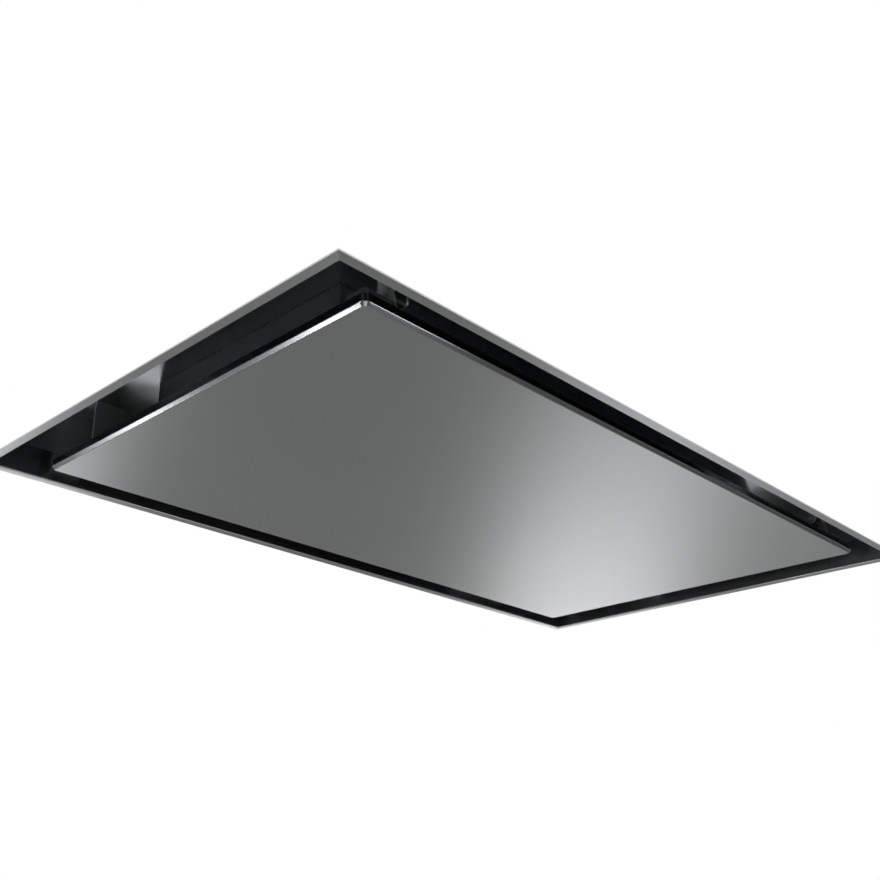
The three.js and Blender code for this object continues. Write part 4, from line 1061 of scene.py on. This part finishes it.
board_white = bpy.data.materials.new("board_white")
board_white.use_nodes = True
board_tree = board_white.node_tree
board_tree.nodes.clear()
board_base = add(board_tree, "ShaderNodeBsdfDiffuse", Color=(0.82, 0.82, 0.81, 1))
board_glow = add(board_tree, "ShaderNodeEmission", Strength=1)
white_to_camera(board_tree, board_base, board_glow, add(board_tree, "ShaderNodeOutputMaterial"))

plaster = material("plaster", (0.8, 0.8, 0.79), 0.9)
pale_floor = material("pale_floor", (0.62, 0.62, 0.61), 0.9)
casing_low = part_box("casing_roof")[0]
hole_x = -casing_low.x + CASING_PLAY
hole_y = -casing_low.y + CASING_PLAY
board_x = cad_high.x + BOARD_REACH
board_y = cad_high.y + BOARD_REACH
board_mesh = bpy.data.meshes.new("ceiling_board")
bm = bmesh.new()
loops = [
    rectangle(bm, hole_x, hole_y, BOARD_FLOOR),
    rectangle(bm, board_x, board_y, BOARD_FLOOR),
    rectangle(bm, board_x, board_y, BOARD_FLOOR + BOARD_THICKNESS),
    rectangle(bm, hole_x, hole_y, BOARD_FLOOR + BOARD_THICKNESS),
]
for number, (inner, outer) in enumerate(zip(loops, [*loops[1:], loops[0]])):
    for i in range(4):
        face = bm.faces.new((inner[i], inner[i - 1], outer[i - 1], outer[i]))
        face.material_index = 0 if number == 0 else 1
bmesh.ops.recalc_face_normals(bm, faces=bm.faces)
bm.to_mesh(board_mesh)
bm.free()
board_mesh.materials.append(board_white)
board_mesh.materials.append(plaster)
board = bpy.data.objects.new("ceiling_board", board_mesh)
scene.collection.objects.link(board)

floor_mesh = bpy.data.meshes.new("floor")
bm = bmesh.new()
bm.faces.new(rectangle(bm, FLOOR_HALF, FLOOR_HALF, FLOOR_LEVEL))
bm.to_mesh(floor_mesh)
bm.free()
floor_mesh.materials.append(pale_floor)
floor = bpy.data.objects.new("floor", floor_mesh)
scene.collection.objects.link(floor)

world = bpy.data.worlds.new("world")
scene.world = world
world.use_nodes = True
world_tree = world.node_tree
world_tree.nodes.clear()
world_base = add(world_tree, "ShaderNodeBackground", Color=(1, 1, 1, 1), Strength=WORLD_LEVEL)
world_white = add(world_tree, "ShaderNodeBackground", Color=(1, 1, 1, 1), Strength=1)
white_to_camera(world_tree, world_base, world_white, add(world_tree, "ShaderNodeOutputWorld"))


def softbox(name, place, size, radiance, long_axis=(0, 0, 1)):
    """An area lamp that faces the hood from a place, with the second of its sizes along an axis."""
    data = bpy.data.lights.new(name, "AREA")
    data.shape = "RECTANGLE"
    data.size, data.size_y = size
    data.energy = radiance * math.pi * size[0] * size[1]
    lamp = bpy.data.objects.new(name, data)
    scene.collection.objects.link(lamp)
    away = Vector(place).normalized()
    side = Vector(long_axis).cross(away).normalized()
    facing = Matrix((side, away.cross(side), away)).transposed().to_4x4()
    lamp.matrix_world = Matrix.Translation(place) @ facing
    lamp.visible_camera = False


# In the picture, the first light makes the broad bright band on the cover, the second brightens its
# left end and the third lifts its right end a little. The edge lights stand where the cover's bevel
# mirrors them at the near short side, and the slot lights where the tray does.
softbox("far_softbox", (6.3, 4.25, -2.3), size=(1.45, 2.4), radiance=3.8)
softbox("side_softbox", (2.65, 7.3, -1.95), size=(1.2, 2.4), radiance=5.6)
softbox("right_low", (3.1, 0.45, -2.3), size=(1.6, 1.2), radiance=0.5)
softbox("edge_light_near", (-1.904, 1.755, -1.72), size=(0.19, 0.8), radiance=6, long_axis=(1, 0, -1))
softbox("edge_light_far", (-1.622, 2.415, -1.40), size=(0.16, 0.8), radiance=6, long_axis=(1, 0, -1))
softbox("slot_light_left", (1.07, -1.94, -1.15), size=(0.7, 0.6), radiance=5)
softbox("slot_light_right", (-2.34, 0.85, -0.84), size=(0.6, 1.0), radiance=6)
softbox("low_fill", (-0.9, -0.9, -1.8), size=(1.5, 1.5), radiance=0.8)
softbox("top_light", (-0.5, -1.4, 2.6), size=(2.5, 2.5), radiance=1.2)
